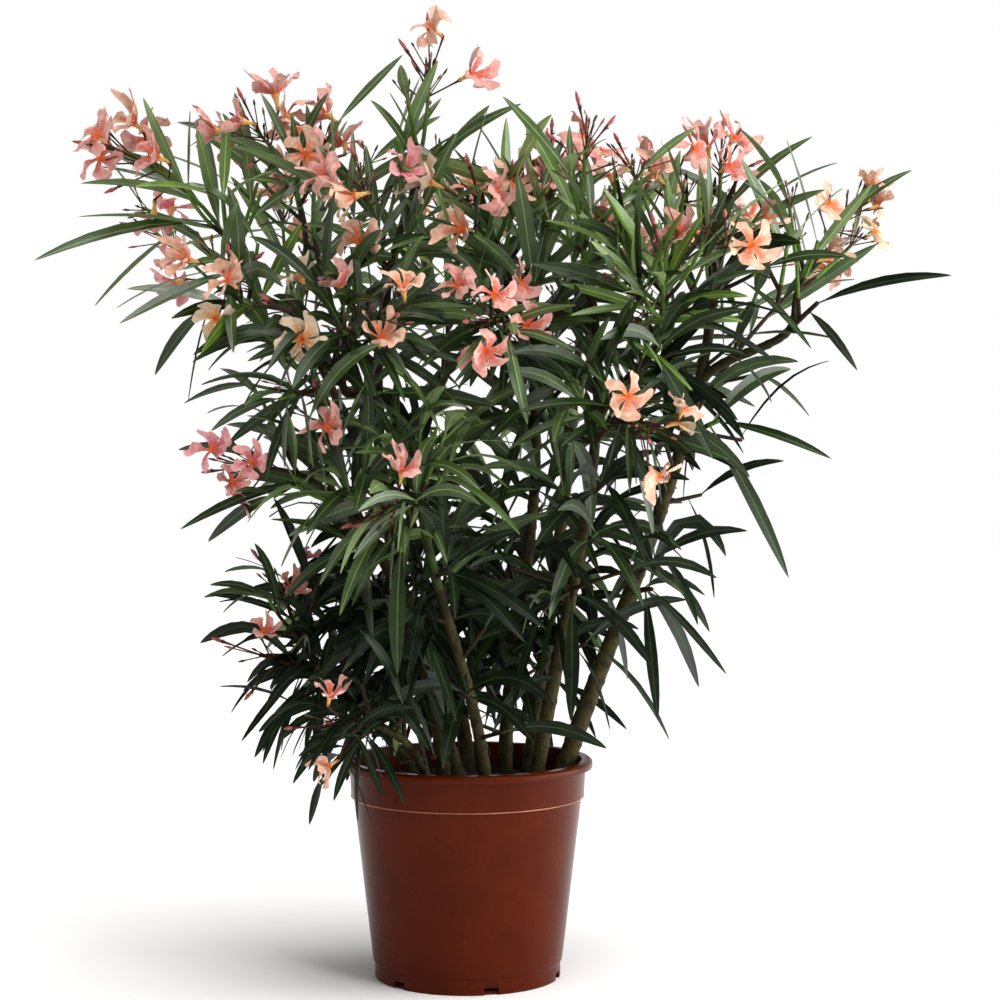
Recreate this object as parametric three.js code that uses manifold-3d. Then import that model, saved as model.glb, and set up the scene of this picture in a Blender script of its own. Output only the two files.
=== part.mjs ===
// A potted oleander in flower: a moulded nursery pot filled with soil, ten canes that rise out of
// the soil, the boughs that fork off them, and the masses of whorled leaves and blooms they carry.
// Millimetres, +Z up, -Y is the front. The origin is the centre of the pot's flat underside.

import * as THREE from "three";
import { mergeVertices } from "three/addons/utils/BufferGeometryUtils.js";
import Module from "manifold-3d";

const wasm = await Module();
wasm.setup();

// ---------- driving dimensions ----------

const POT = {
  height: 218,
  baseRadius: 93,
  footHeight: 16, // the narrower ring that the pot stands on
  footStep: 2,
  bandHeight: 28.5, // the wider band below the rim
  bandStep: 2.5,
  bandRadius: 116.5,
  rimRadius: 125,
  rimHeight: 9,
  wall: 2.4,
  floor: 3,
  sides: 36,
  slots: 6, // drainage slots round the foot
  slotWidth: 14,
  slotHeight: 7,
};
const SOIL_TOP = 196;
const SOIL_EDGE = 4; // the soil falls away where it meets the pot
const CLEARANCE = 0.3; // between pieces that meet
const MERGE = 0.05; // details finer than this are smoothed out of a joined mass
const FIT = 0.5; // a leaf, flower or twig that comes nearer than this to another piece is left off

// How far the plant reaches round its own middle at each height.
const REACH = {
  heights: [160, 300, 430, 560, 680, 800, 900, 965],
  left: [240, 275, 300, 320, 455, 445, 290, 120],
  right: [225, 270, 340, 390, 492, 470, 310, 100],
  depth: [215, 240, 275, 315, 335, 325, 260, 100],
};
// The top of the crown, as its height at each place across.
const CROWN_LINE = {
  across: [-430, -405, -366, -326, -290, -245, -160, -78, -64, -4, 20, 60, 120, 172, 261, 340, 381, 426, 470],
  top: [725, 850, 858, 892, 880, 900, 892, 882, 967, 967, 892, 860, 862, 845, 855, 850, 830, 805, 725],
};

const LEAF = {
  widthToLength: 0.15, // a little broader than life
  thickToLength: 0.0125,
  widestAt: 0.42,
  inWhorl: 3,
  whorlGap: 25, // along the shoot
  drawn: 0.6, // share of the leaves that are solids
};
const BLOOM = {
  diameter: 48,
  tube: 15,
  throat: 6,
  petals: 5,
  outline: [[0.36, 0], [0.94, 2.5], [1, -1]], // a petal's notch and corners: reach and twist
  stalk: 36,
  neck: 1.8,
  frontBefore: 90, // blooms with a smaller y turn to the front
};
const BUD = { length: 17, radius: 2.4 };
const TWIG = {
  sides: 3,
  steps: 2,
  footRadius: 3.4,
  sideRadius: 2.8,
  tipRadius: 2.2,
  sunk: 0.3, // what grows on a twig starts this far behind its middle
  bare: 12, // and stays clear of the mass's other leaves from this far out
};

// Canes rise from the soil: foot, two control points and tip, then the radius at foot and tip.
const CANES = {
  cane_front: [[19, -45, SOIL_TOP], [10, -60, 300], [-30, -92, 380], [-42, -105, 468], 7, 4.6],
  cane_middle: [[68, -6, SOIL_TOP], [96, -20, 380], [150, -40, 540], [118, -75, 690], 7.5, 4],
  cane_right: [[93, 8, SOIL_TOP], [150, 30, 360], [240, 35, 540], [250, 40, 700], 9.5, 4.5],
  cane_left: [[-10, 15, SOIL_TOP], [-75, 25, 380], [-125, 45, 580], [-62, 15, 760], 9, 4],
  cane_back: [[38, 55, SOIL_TOP], [35, 75, 340], [105, 45, 520], [42, -15, 690], 7.5, 4],
  cane_mid_left: [[-22, -25, SOIL_TOP], [-35, -40, 330], [-70, -60, 430], [-135, -90, 490], 7, 4.5],
  cane_low_left: [[-50, 0, SOIL_TOP], [-80, -5, 250], [-120, -15, 280], [-150, -30, 320], 5.5, 3.8],
  cane_low_front: [[-35, -65, SOIL_TOP], [-45, -80, 235], [-60, -100, 255], [-82, -118, 264], 4.5, 3.6],
  cane_back_left: [[0, 70, SOIL_TOP], [-20, 110, 380], [-120, 190, 520], [-180, 230, 650], 8, 4],
  cane_back_right: [[62, 64, SOIL_TOP], [90, 115, 380], [110, 190, 540], [120, 230, 660], 8, 4],
};

// A bough's bend, as shares of its length: it runs on along the cane, turns to its tip, ends rising.
const BEND = { onward: 0.25, turned: 0.2, rising: 0.3 };
// Boughs fork off a cane at a share of its length: cane, share, tip, radius at root and tip.
const BOUGHS = {
  bough_far_left: ["cane_left", 0.72, [-225, -20, 685], 5, 3.6],
  bough_upper_left: ["cane_left", 0.8, [-165, 65, 730], 4.6, 3.6],
  bough_inner_left: ["cane_left", 0.66, [-118, -105, 600], 4.6, 3.6],
  bough_mid_right: ["cane_middle", 0.7, [190, -70, 650], 4.6, 3.6],
  bough_right: ["cane_right", 0.78, [325, 5, 660], 5.2, 3.8],
  bough_back_middle: ["cane_back_left", 0.6, [-25, 265, 620], 4.6, 3.6],
  bough_back_far_right: ["cane_back_right", 0.62, [255, 215, 640], 4.8, 3.6],
};

// Each mass of foliage: limb and share of its length where the mass's stem leaves it, the tip of the
// leading shoot, side shoots and their length, leaf length, droop of the leaves (0 stiff, 1 hanging),
// blooms and buds at the leading tip.
const MASSES = {
  foliage_far_left: ["bough_far_left", 1, [-335, -50, 818], 3, 95, 138, 0.1, 5, 2],
  foliage_upper_left: ["bough_upper_left", 1, [-206, -10, 840], 2, 95, 122, 0.05, 3, 3],
  foliage_top: ["cane_left", 1, [-37, 0, 912], 3, 100, 122, 0, 2, 5],
  foliage_far_right: ["bough_right", 1, [385, 20, 765], 3, 95, 138, 0.05, 4, 2],
  foliage_far_right_low: ["bough_right", 0.82, [360, -70, 688], 2, 70, 138, 0.3, 0, 0],
  foliage_front_low_left: ["cane_low_front", 1, [-118, -138, 270], 2, 65, 92, 0.9, 3, 1],
  foliage_left_side: ["cane_mid_left", 1, [-212, -115, 497], 3, 85, 125, 0.35, 4, 2],
  foliage_front: ["cane_front", 1, [-50, -150, 492], 3, 75, 118, 0.5, 1, 1],
  foliage_middle_front: ["cane_back", 0.86, [22, -150, 650], 2, 75, 108, 0.4, 5, 1],
  foliage_right_front: ["cane_middle", 0.66, [170, -172, 566], 2, 80, 112, 0.4, 4, 1],
  foliage_inner_left: ["bough_inner_left", 1, [-70, -168, 648], 2, 80, 112, 0.4, 3, 1],
  foliage_inner_far_left: ["bough_inner_left", 0.7, [-160, -140, 655], 2, 80, 118, 0.6, 2, 1],
  foliage_left_front: ["bough_far_left", 0.75, [-222, -130, 694], 3, 85, 120, 0.5, 2, 2],
  foliage_upper_left_front: ["cane_left", 0.86, [-98, -88, 778], 2, 90, 122, 0.1, 3, 1],
  foliage_upper_left_back: ["bough_upper_left", 0.65, [-150, 95, 842], 2, 90, 120, 0.1, 4, 1],
  foliage_middle_left: ["cane_back", 1, [12, -75, 768], 2, 85, 115, 0.1, 4, 1],
  foliage_middle: ["cane_back", 0.8, [82, -30, 806], 2, 90, 118, 0.1, 5, 1],
  foliage_spike: ["cane_middle", 1, [116, -95, 826], 3, 95, 118, 0.05, 0, 4],
  foliage_upper_right_back: ["bough_back_far_right", 0.5, [165, 70, 815], 2, 85, 118, 0.1, 2, 1],
  foliage_right_middle: ["bough_mid_right", 1, [200, -15, 785], 2, 85, 120, 0.1, 3, 2],
  foliage_green_front: ["bough_mid_right", 0.75, [180, -150, 716], 3, 75, 112, 0.2, 0, 1],
  foliage_upper_right: ["cane_right", 1, [256, 50, 824], 3, 100, 125, 0.05, 2, 2],
  foliage_right_flowers: ["cane_right", 0.88, [245, -125, 728], 2, 85, 118, 0.3, 3, 1],
  foliage_right: ["bough_right", 0.55, [300, -20, 786], 3, 95, 140, 0.05, 0, 0],
  foliage_right_under: ["cane_right", 0.66, [285, -50, 560], 3, 85, 135, 0.8, 0, 0],
  foliage_left_above: ["cane_mid_left", 0.72, [-140, -140, 572], 2, 80, 118, 0.4, 1, 1],
  foliage_low_left: ["cane_low_left", 1, [-182, -30, 392], 3, 75, 108, 0.4, 2, 1],
  foliage_low_far_left: ["cane_low_left", 0.75, [-202, -62, 328], 2, 65, 102, 0.7, 2, 1],
  foliage_low_back_left: ["cane_low_left", 0.5, [-140, 85, 345], 3, 85, 118, 0.8, 0, 0],
  foliage_middle_low: ["cane_middle", 0.36, [100, -95, 375], 3, 85, 122, 0.9, 0, 0],
  foliage_right_low: ["cane_right", 0.36, [200, -15, 385], 3, 75, 128, 0.9, 0, 0],
  foliage_left_low: ["cane_left", 0.24, [-75, -80, 350], 3, 85, 118, 0.9, 0, 0],
  foliage_back_low: ["cane_back", 0.36, [35, 155, 365], 3, 85, 120, 0.9, 0, 0],
  foliage_back_left: ["cane_back_left", 1, [-205, 245, 780], 3, 100, 125, 0.1, 3, 2],
  foliage_back_middle: ["bough_back_middle", 1, [-30, 265, 775], 3, 100, 122, 0.1, 3, 2],
  foliage_back_right: ["cane_back_right", 1, [120, 225, 810], 3, 100, 125, 0.05, 3, 2],
  foliage_back_far_right: ["bough_back_far_right", 1, [285, 215, 765], 3, 95, 125, 0.1, 3, 1],
  foliage_right_back: ["cane_right", 0.7, [385, 120, 735], 3, 105, 130, 0.15, 2, 1],
  foliage_back_far_left: ["cane_back_left", 0.72, [-325, 110, 750], 3, 105, 130, 0.15, 3, 1],
  foliage_back_under_left: ["cane_back_left", 0.46, [-150, 245, 545], 3, 85, 120, 0.7, 0, 0],
  foliage_back_under_right: ["cane_back_right", 0.46, [195, 225, 535], 3, 85, 120, 0.7, 0, 0],
};

// The leaves that reach furthest: mass, share of its leading shoot, tip of the leaf.
const LONG_LEAVES = [
  ["foliage_far_left", 0.45, [-420, -70, 713]],
  ["foliage_far_left", 0.12, [-325, -90, 640]],
  ["foliage_upper_left", 0.55, [-148, -20, 888]],
  ["foliage_top", 0.35, [-90, -60, 872]],
  ["foliage_top", 0.3, [52, -40, 870]],
  ["foliage_spike", 0.35, [54, -110, 850]],
  ["foliage_upper_right", 0.5, [337, 10, 848]],
  ["foliage_far_right", 0.62, [428, -20, 816]],
  ["foliage_far_right_low", 0.55, [464, -95, 694]],
  ["foliage_far_right_low", 0.4, [357, -140, 600]],
  ["foliage_right_under", 0.5, [347, -80, 512]],
  ["foliage_right_under", 0.4, [310, -60, 400]],
  ["foliage_right_low", 0.6, [247, -40, 300]],
  ["foliage_right_low", 0.45, [182, -60, 262]],
  ["foliage_left_side", 0.2, [-275, -105, 455]],
  ["foliage_low_left", 0.6, [-250, -50, 395]],
  ["foliage_low_far_left", 0.5, [-218, -50, 238]],
  ["foliage_front_low_left", 0.3, [-134, -128, 186]],
];

const COLOURS = {
  pot: [0x6b2e20, 0.42],
  soil: [0x1a120c, 0.95],
  cane: [0x5a5536, 0.7],
  bough: [0x55392a, 0.7],
  foliage: [0x2b4a1e, 0.5],
};

// ---------- small helpers ----------

const UP = new THREE.Vector3(0, 0, 1);
const GOLDEN = Math.PI * (3 - Math.sqrt(5));
const degrees = (n) => (n * Math.PI) / 180;
const mix = (a, b, t) => a + (b - a) * t;
const point = (p) => new THREE.Vector3(...p);

// The same draws each run: a linear congruential generator.
function seeded(seed) {
  let state = seed >>> 0;
  const draw = () => {
    state = (Math.imul(state, 1664525) + 1013904223) >>> 0;
    return state / 4294967296;
  };
  for (let i = 0; i < 4; i++) draw();
  return draw;
}

// Value at x of a line through knots.
function along(knots, values, x) {
  let i = 1;
  while (i < knots.length - 1 && x > knots[i]) i++;
  const t = (x - knots[i - 1]) / (knots[i] - knots[i - 1]);
  return mix(values[i - 1], values[i], Math.min(Math.max(t, 0), 1));
}

// Is a point inside the space that the whole plant fills?
function insidePlant(p) {
  const { heights, left, right, depth } = REACH;
  if (p.z < heights[0] || p.z > along(CROWN_LINE.across, CROWN_LINE.top, p.x)) return false;
  const wide = along(heights, p.x < 0 ? left : right, p.z);
  return (p.x / wide) ** 2 + (p.y / along(heights, depth, p.z)) ** 2 <= 1;
}

// The axis that a direction runs least along, to build a frame on.
function leastAlong(v) {
  const sizes = v.toArray().map(Math.abs);
  return new THREE.Vector3().setComponent(sizes.indexOf(Math.min(...sizes)), 1);
}

// Two directions square to dir, the first of them also square to reference.
function squareTo(dir, reference = leastAlong(dir)) {
  const side = new THREE.Vector3().crossVectors(dir, reference).normalize();
  return [side, new THREE.Vector3().crossVectors(side, dir).normalize()];
}

// ---------- geometry to solids ----------

// A three.js geometry as a solid: shared vertices merged, collapsed triangles dropped.
function solidOf(geometry) {
  geometry.deleteAttribute("normal");
  geometry.deleteAttribute("uv");
  const merged = mergeVertices(geometry, 1e-4);
  const index = merged.index.array;
  const kept = [];
  for (let i = 0; i < index.length; i += 3) {
    const [a, b, c] = index.slice(i, i + 3);
    if (a !== b && b !== c && c !== a) kept.push(a, b, c);
  }
  return new wasm.Manifold(
    new wasm.Mesh({
      numProp: 3,
      vertProperties: merged.attributes.position.array,
      triVerts: new Uint32Array(kept),
    }),
  );
}

// The largest body of a solid, so loose scraps and sealed hollows are dropped.
function wholeBody(solid) {
  const bodies = solid.decompose();
  return bodies.reduce((a, b) => (b.volume() > a.volume() ? b : a));
}

function geometryOf(solid) {
  const mesh = solid.getMesh();
  const geometry = new THREE.BufferGeometry();
  geometry.setAttribute("position", new THREE.BufferAttribute(mesh.vertProperties, 3));
  geometry.setIndex(new THREE.BufferAttribute(mesh.triVerts, 1));
  geometry.computeVertexNormals();
  return geometry;
}

// A closed solid swept from t = 0 to t = 1. A unit cylinder's point (x, z) at t is handed to place.
function swept(sides, steps, place) {
  const shape = new THREE.CylinderGeometry(1, 1, 1, sides, steps);
  const at = shape.attributes.position;
  for (let i = 0; i < at.count; i++) {
    const p = place(at.getY(i) + 0.5, at.getX(i), at.getZ(i));
    at.setXYZ(i, p.x, p.y, p.z);
  }
  return solidOf(shape);
}

// A tapering tube on a curve, grown all round by extra.
function limbSolid(curve, from, to, sides, steps, extra = 0) {
  const reference = leastAlong(curve.getPoint(1).sub(curve.getPoint(0)));
  return swept(sides, steps, (t, x, z) => {
    const [side, lift] = squareTo(curve.getTangent(t), reference);
    const radius = mix(from, to, t) + extra;
    const p = curve.getPoint(t);
    return p.addScaledVector(side, x * radius).addScaledVector(lift, z * radius);
  });
}

// ---------- pot and soil ----------

function potOuterRadius(z) {
  const slope = (POT.bandRadius - POT.bandStep - POT.baseRadius) / (POT.height - POT.bandHeight - POT.rimHeight);
  return POT.baseRadius + slope * z;
}

function lathe(profile) {
  const points = profile.map(([r, z]) => new THREE.Vector2(r, z));
  return solidOf(new THREE.LatheGeometry(points, POT.sides).rotateX(Math.PI / 2));
}

function makePot() {
  const { height, baseRadius, footHeight, footStep, wall, floor } = POT;
  const { bandHeight, bandStep, bandRadius, rimRadius, rimHeight } = POT;
  const bandFoot = height - rimHeight - bandHeight;
  const rimFoot = height - rimHeight;
  const body = lathe([
    [0, 0],
    [baseRadius, 0],
    [potOuterRadius(footHeight) - footStep, footHeight],
    [potOuterRadius(footHeight), footHeight + 1],
    [potOuterRadius(bandFoot), bandFoot],
    [bandRadius, bandFoot + 1.5],
    [bandRadius + 1.5, rimFoot],
    [rimRadius, rimFoot + 1],
    [rimRadius, height - 2],
    [rimRadius - 2.5, height],
    [bandRadius - wall, height],
    [bandRadius - wall - bandStep, bandFoot],
    [baseRadius - wall, floor],
    [0, floor],
  ]);
  const cutters = [];
  for (let i = 0; i < POT.slots; i++) {
    const slot = new THREE.BoxGeometry(POT.slotWidth, 12, POT.slotHeight * 2);
    slot.translate(0, -baseRadius - 2.5, 0);
    slot.rotateZ(((i + 0.25) * 2 * Math.PI) / POT.slots);
    cutters.push(solidOf(slot));
  }
  return wholeBody(body.subtract(wasm.Manifold.union(cutters)));
}

function makeSoil() {
  const { baseRadius, bandRadius, bandStep, bandHeight, rimHeight, height, wall, floor } = POT;
  const gap = CLEARANCE;
  const bandFoot = height - rimHeight - bandHeight;
  const neck = bandRadius - wall - bandStep - gap;
  return lathe([
    [0, floor + gap],
    [baseRadius - wall - gap, floor + gap],
    [neck, bandFoot + 1],
    [neck, SOIL_TOP - SOIL_EDGE],
    [neck - SOIL_EDGE, SOIL_TOP - gap],
    [0, SOIL_TOP - gap],
  ]);
}

// ---------- limbs ----------

const limbs = {};

for (const [name, [foot, low, high, tip, footRadius, tipRadius]] of Object.entries(CANES)) {
  const curve = new THREE.CubicBezierCurve3(point(foot), point(low), point(high), point(tip));
  limbs[name] = { curve, from: footRadius, to: tipRadius, sides: 6, steps: 6 };
}

for (const [name, [cane, share, tip, rootRadius, tipRadius]] of Object.entries(BOUGHS)) {
  const root = limbs[cane].curve.getPoint(share);
  const heading = limbs[cane].curve.getTangent(share);
  const length = root.distanceTo(point(tip));
  const low = root.clone().addScaledVector(heading, length * BEND.onward);
  low.lerp(point(tip), BEND.turned);
  const high = point(tip).addScaledVector(UP, -length * BEND.rising);
  const curve = new THREE.CubicBezierCurve3(root, low, high, point(tip));
  limbs[name] = { curve, from: rootRadius, to: tipRadius, sides: 5, steps: 4, on: cane };
}

function makeLimb(name) {
  const limb = limbs[name];
  const tube = limbSolid(limb.curve, limb.from, limb.to, limb.sides, limb.steps);
  if (!limb.on) {
    const groundCut = new THREE.BoxGeometry(200, 200, 100);
    const foot = limb.curve.getPoint(0);
    groundCut.translate(foot.x, foot.y, SOIL_TOP - 50);
    return wholeBody(tube.subtract(solidOf(groundCut)));
  }
  return wholeBody(tube.subtract(widened(limb.on)));
}

function widened(name) {
  const limb = limbs[name];
  limb.wide ??= limbSolid(limb.curve, limb.from, limb.to, limb.sides, limb.steps, CLEARANCE);
  return limb.wide;
}

// ---------- the growth rule of a mass ----------

// A direction that leaves axis at the angle open, turned round it by turn.
function leaving(axis, open, turn) {
  const [side, lift] = squareTo(axis);
  const out = side.multiplyScalar(Math.cos(turn)).addScaledVector(lift, Math.sin(turn));
  return axis.clone().multiplyScalar(Math.cos(open)).addScaledVector(out, Math.sin(open));
}

// A shoot is a bent line with a radius at its foot and its tip.
function shoot(start, heading, tip, from, to) {
  const middle = start.clone().addScaledVector(heading, start.distanceTo(tip) * 0.45);
  return { curve: new THREE.QuadraticBezierCurve3(start, middle, tip), from, to };
}

// The middle of a shoot's faceted solid at a share of its length, which is where things grow on it.
function onShoot({ curve }, share) {
  const step = Math.min(Math.floor(share * TWIG.steps), TWIG.steps - 1);
  const [a, b] = [step, step + 1].map((i) => curve.getPoint(i / TWIG.steps));
  return a.lerp(b, share * TWIG.steps - step);
}

// Leaves stand in whorls along a shoot between two shares of its length. The lower ones spread and
// sag, the youngest close up round the tip.
function whorls(branch, first, last, leafLength, droop, draw) {
  const length = branch.curve.getLength() * (last - first);
  const count = Math.max(2, Math.round(length / LEAF.whorlGap));
  const leaves = [];
  for (let j = 0; j < count; j++) {
    const age = 1 - j / count;
    for (let i = 0; i < LEAF.inWhorl; i++) {
      const share = mix(first, last, (j + 0.3 + 0.6 * draw()) / count);
      const axis = branch.curve.getTangent(share);
      const turn = ((i + (j % 2) * 0.5) * 2 * Math.PI) / LEAF.inWhorl + mix(-0.35, 0.35, draw());
      const open = degrees(mix(24, 60, age) + 36 * droop * age + mix(-9, 9, draw()));
      const size = leafLength * mix(0.75, 1.12, draw()) * Math.min(1, 0.7 + age);
      const sag = (0.1 + 0.6 * droop) * mix(0.5, 1.3, draw());
      const heading = leaving(axis, open, turn);
      if (draw() < LEAF.drawn) leaves.push({ root: onShoot(branch, share), axis, heading, size, sag });
    }
  }
  return leaves;
}

// The long leaves of a mass, each of them arched from the leading shoot to its own tip.
function longLeaves(name, lead) {
  const own = LONG_LEAVES.filter(([mass]) => mass === name);
  return own.map(([, share, tip]) => {
    const root = onShoot(lead, share);
    const heading = point(tip).sub(root);
    const size = heading.length();
    heading.addScaledVector(UP, size * 0.2).normalize();
    return { root, axis: lead.curve.getTangent(share), heading, size, sag: 0.38 };
  });
}

// Blooms and buds stand round the end of a shoot, the oldest lowest and opened widest.
function inflorescence(branch, blooms, buds, draw) {
  const total = blooms + buds;
  const flowers = [];
  for (let k = 0; k < total; k++) {
    const share = mix(1, 0.72, (k + 0.3) / total);
    const root = onShoot(branch, share);
    const open = degrees(mix(12, 85, (k + 0.5) / total));
    const turn = k * GOLDEN + mix(-0.3, 0.3, draw());
    const heading = leaving(branch.curve.getTangent(share), open, turn);
    const outward = new THREE.Vector3(root.x, root.y, 0).normalize();
    const facing = heading.clone().multiplyScalar(0.7).addScaledVector(outward, 0.6);
    if (root.y < BLOOM.frontBefore) facing.y -= 0.7;
    const length = BLOOM.stalk * mix(0.8, 1.25, draw());
    const size = mix(0.88, 1.12, draw());
    const isBud = (k * buds) % total < buds;
    flowers.push({ root, heading, facing: facing.normalize(), length, size, isBud });
  }
  return flowers;
}

// A mass: a leading shoot from its limb, side shoots off that, their leaves, and the flowers.
function growMass(name, seed) {
  const [limbName, share, tip, sideShoots, sideLength, leafLength, droop, blooms, buds] = MASSES[name];
  const { curve } = limbs[limbName];
  const start = curve.getPoint(share);
  const heading = curve.getTangent(share);
  if (share === 1) start.addScaledVector(heading, CLEARANCE);
  else heading.lerp(point(tip).sub(start).normalize(), 0.6).normalize();
  const lead = shoot(start, heading, point(tip), TWIG.footRadius, TWIG.tipRadius);
  const lastLeaf = blooms + buds > 0 ? 0.72 : 0.97;
  lead.leaves = whorls(lead, 0.34, lastLeaf, leafLength, droop, seeded(seed * 10));
  const draw = seeded(seed * 10 + 9);
  const sides = [];
  for (let k = 0; k < sideShoots; k++) {
    const from = mix(0.22, 0.5, k / sideShoots);
    const root = onShoot(lead, from);
    const turn = (k / sideShoots) * 2 * Math.PI + seed * GOLDEN + mix(-0.3, 0.3, draw());
    const open = degrees(mix(36, 58, draw()) + 18 * droop);
    const away = leaving(lead.curve.getTangent(from), open, turn);
    const reach = sideLength * mix(0.8, 1.2, draw());
    const end = root.clone().addScaledVector(away, reach);
    end.z += reach * mix(0.22, -0.1, droop);
    const branch = shoot(root, away, end, TWIG.sideRadius, TWIG.tipRadius);
    branch.leaves = whorls(branch, 0.3, 0.97, leafLength * 0.95, droop, seeded(seed * 10 + k + 1));
    sides.push(branch);
  }
  return { name, limbName, lead, sides, flowers: inflorescence(lead, blooms, buds, draw) };
}

// ---------- twig, leaf and flower solids ----------

function twigSolid({ curve, from, to }) {
  return limbSolid(curve, from, to, TWIG.sides, TWIG.steps);
}

// A blade that starts at a point inside its twig, is flat above and keeled below, and bends where
// it is widest.
function leafSolid({ root, axis, heading, size, sag }, from = -TWIG.sunk) {
  const half = (size * LEAF.widthToLength) / Math.sqrt(3);
  const thick = size * LEAF.thickToLength;
  const foot = root.clone().addScaledVector(heading, from);
  const bend = root.clone().addScaledVector(heading, size * LEAF.widestAt);
  const onward = heading.clone().addScaledVector(UP, -sag).normalize();
  const tip = bend.clone().addScaledVector(onward, size * (1 - LEAF.widestAt));
  const face = axis.clone().addScaledVector(heading, -axis.dot(heading)).normalize();
  const across = new THREE.Vector3().crossVectors(face, heading).normalize();
  return swept(3, 2, (t, x, z) => {
    if (t === 0) return foot;
    if (t === 1) return tip;
    return bend.clone().addScaledVector(across, x * half).addScaledVector(face, -z * thick);
  });
}

// A bud with its stalk is one slim spindle.
function budSolid({ root, heading, length, size }, from = -TWIG.sunk) {
  const foot = root.clone().addScaledVector(heading, from);
  const belly = root.clone().addScaledVector(heading, length);
  const tip = belly.clone().addScaledVector(heading, BUD.length * size);
  const [side, lift] = squareTo(heading);
  return swept(3, 2, (t, x, z) => {
    if (t === 0) return foot;
    if (t === 1) return tip;
    return belly.clone().addScaledVector(side, x * BUD.radius).addScaledVector(lift, z * BUD.radius);
  });
}

// Five broad petals, twisted like a pinwheel, on a funnel that narrows to a slim stalk. Each petal
// has three of the outline's corners: a notch and the two corners of its tip.
function flowerSolid({ root, heading, facing, length, size }, from = -TWIG.sunk) {
  const corners = BLOOM.petals * 3;
  const foot = root.clone().addScaledVector(heading, from);
  const neck = root.clone().addScaledVector(heading, length);
  const rim = neck.clone().addScaledVector(facing, BLOOM.tube * size);
  const throat = rim.clone().addScaledVector(facing, -BLOOM.throat * size);
  const [side, lift] = squareTo(facing);
  const offset = (angle, reach) =>
    side.clone().multiplyScalar(Math.sin(angle) * reach).addScaledVector(lift, Math.cos(angle) * reach);
  return swept(corners, 3, (t, x, z) => {
    const step = Math.round(t * 3);
    if (step === 0) return foot;
    if (step === 3) return throat;
    const turn = Math.atan2(x, z) / (2 * Math.PI) + 1;
    const corner = Math.round(turn * corners) % corners;
    if (step === 1) return neck.clone().add(offset((Math.floor(corner / 5) * 2 * Math.PI) / 3, BLOOM.neck));
    const [share, twist] = BLOOM.outline[corner % 3];
    const p = rim.clone().add(offset(turn * 2 * Math.PI, (share * size * BLOOM.diameter) / 2));
    return p.addScaledVector(facing, twist);
  });
}

// ---------- masses that keep to their own space ----------

const occupied = []; // what a new twig, leaf or flower keeps clear of

function occupy(owner, solid) {
  occupied.push({ owner, solid, box: solid.boundingBox() });
  return solid;
}

// Does a solid come too near to anything but what its owners have placed?
function crowds(solid, ...owners) {
  const box = solid.boundingBox();
  const apart = (far) => [0, 1, 2].some((i) => box.min[i] - FIT > far.max[i] || box.max[i] + FIT < far.min[i]);
  return occupied.some(
    (piece) => !owners.includes(piece.owner) && !apart(piece.box) && solid.minGap(piece.solid, 2 * FIT) < FIT,
  );
}

// Places a mass's twigs and flowers, which all come before any leaf.
function startMass(mass) {
  const { name, limbName, lead, sides, flowers } = mass;
  const stem = twigSolid(lead);
  if (crowds(stem, name, limbName)) throw new Error(`the stem of ${name} runs into another piece`);
  mass.parts = [occupy(name, stem)];
  mass.shoots = [lead];
  for (const branch of sides) {
    const twig = twigSolid(branch);
    if (!insidePlant(branch.curve.getPoint(1)) || crowds(twig, name)) continue;
    mass.parts.push(occupy(name, twig));
    mass.shoots.push(branch);
  }
  for (const flower of flowers) grow(mass, flower.isBud ? budSolid : flowerSolid, flower);
  for (const leaf of longLeaves(name, lead)) grow(mass, leafSolid, leaf);
}

// Adds a leaf, bud or flower to its mass where it has room.
function grow({ name, parts }, shape, form) {
  const solid = shape(form);
  const box = solid.boundingBox();
  const inside = [box.min, box.max].every((corner) => insidePlant(point(corner)));
  if (inside && !crowds(shape(form, TWIG.bare)) && !crowds(solid, name)) parts.push(occupy(name, solid));
}

function finishMass(mass) {
  for (const leaf of mass.shoots.flatMap((branch) => branch.leaves)) grow(mass, leafSolid, leaf);
  const joined = wasm.Manifold.union(mass.parts).subtract(widened(mass.limbName));
  return wholeBody(joined.simplify(MERGE));
}

// ---------- the plant ----------

const plant = new THREE.Group();

function add(name, solid, [colour, roughness]) {
  const material = new THREE.MeshStandardMaterial({ color: colour, roughness, metalness: 0 });
  const mesh = new THREE.Mesh(geometryOf(solid), material);
  mesh.name = name;
  plant.add(mesh);
}

add("pot", occupy("pot", makePot()), COLOURS.pot);
add("soil", occupy("soil", makeSoil()), COLOURS.soil);
for (const name of Object.keys(limbs)) {
  add(name, occupy(name, makeLimb(name)), limbs[name].on ? COLOURS.bough : COLOURS.cane);
}
const masses = Object.keys(MASSES).map((name, i) => growMass(name, i + 1));
masses.forEach(startMass);
for (const mass of masses) add(mass.name, finishMass(mass), COLOURS.foliage);

export default plant;
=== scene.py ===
# %% [markdown]
# # A potted oleander
# An oleander is an evergreen shrub. Several canes rise straight out of the soil, fork into boughs,
# and end in shoots that carry narrow leathery leaves in rings of three and clusters of five-petalled
# blooms. This one grows in the plain plastic pot that a nursery sells it in.
#
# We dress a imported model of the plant: the frame gives every stem and every mass of leaves its
# place, and each step below replaces some of those plain solids with the finished thing.

# %% Load the frame
import math

import bpy
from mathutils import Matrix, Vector
from mathutils.noise import noise


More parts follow.
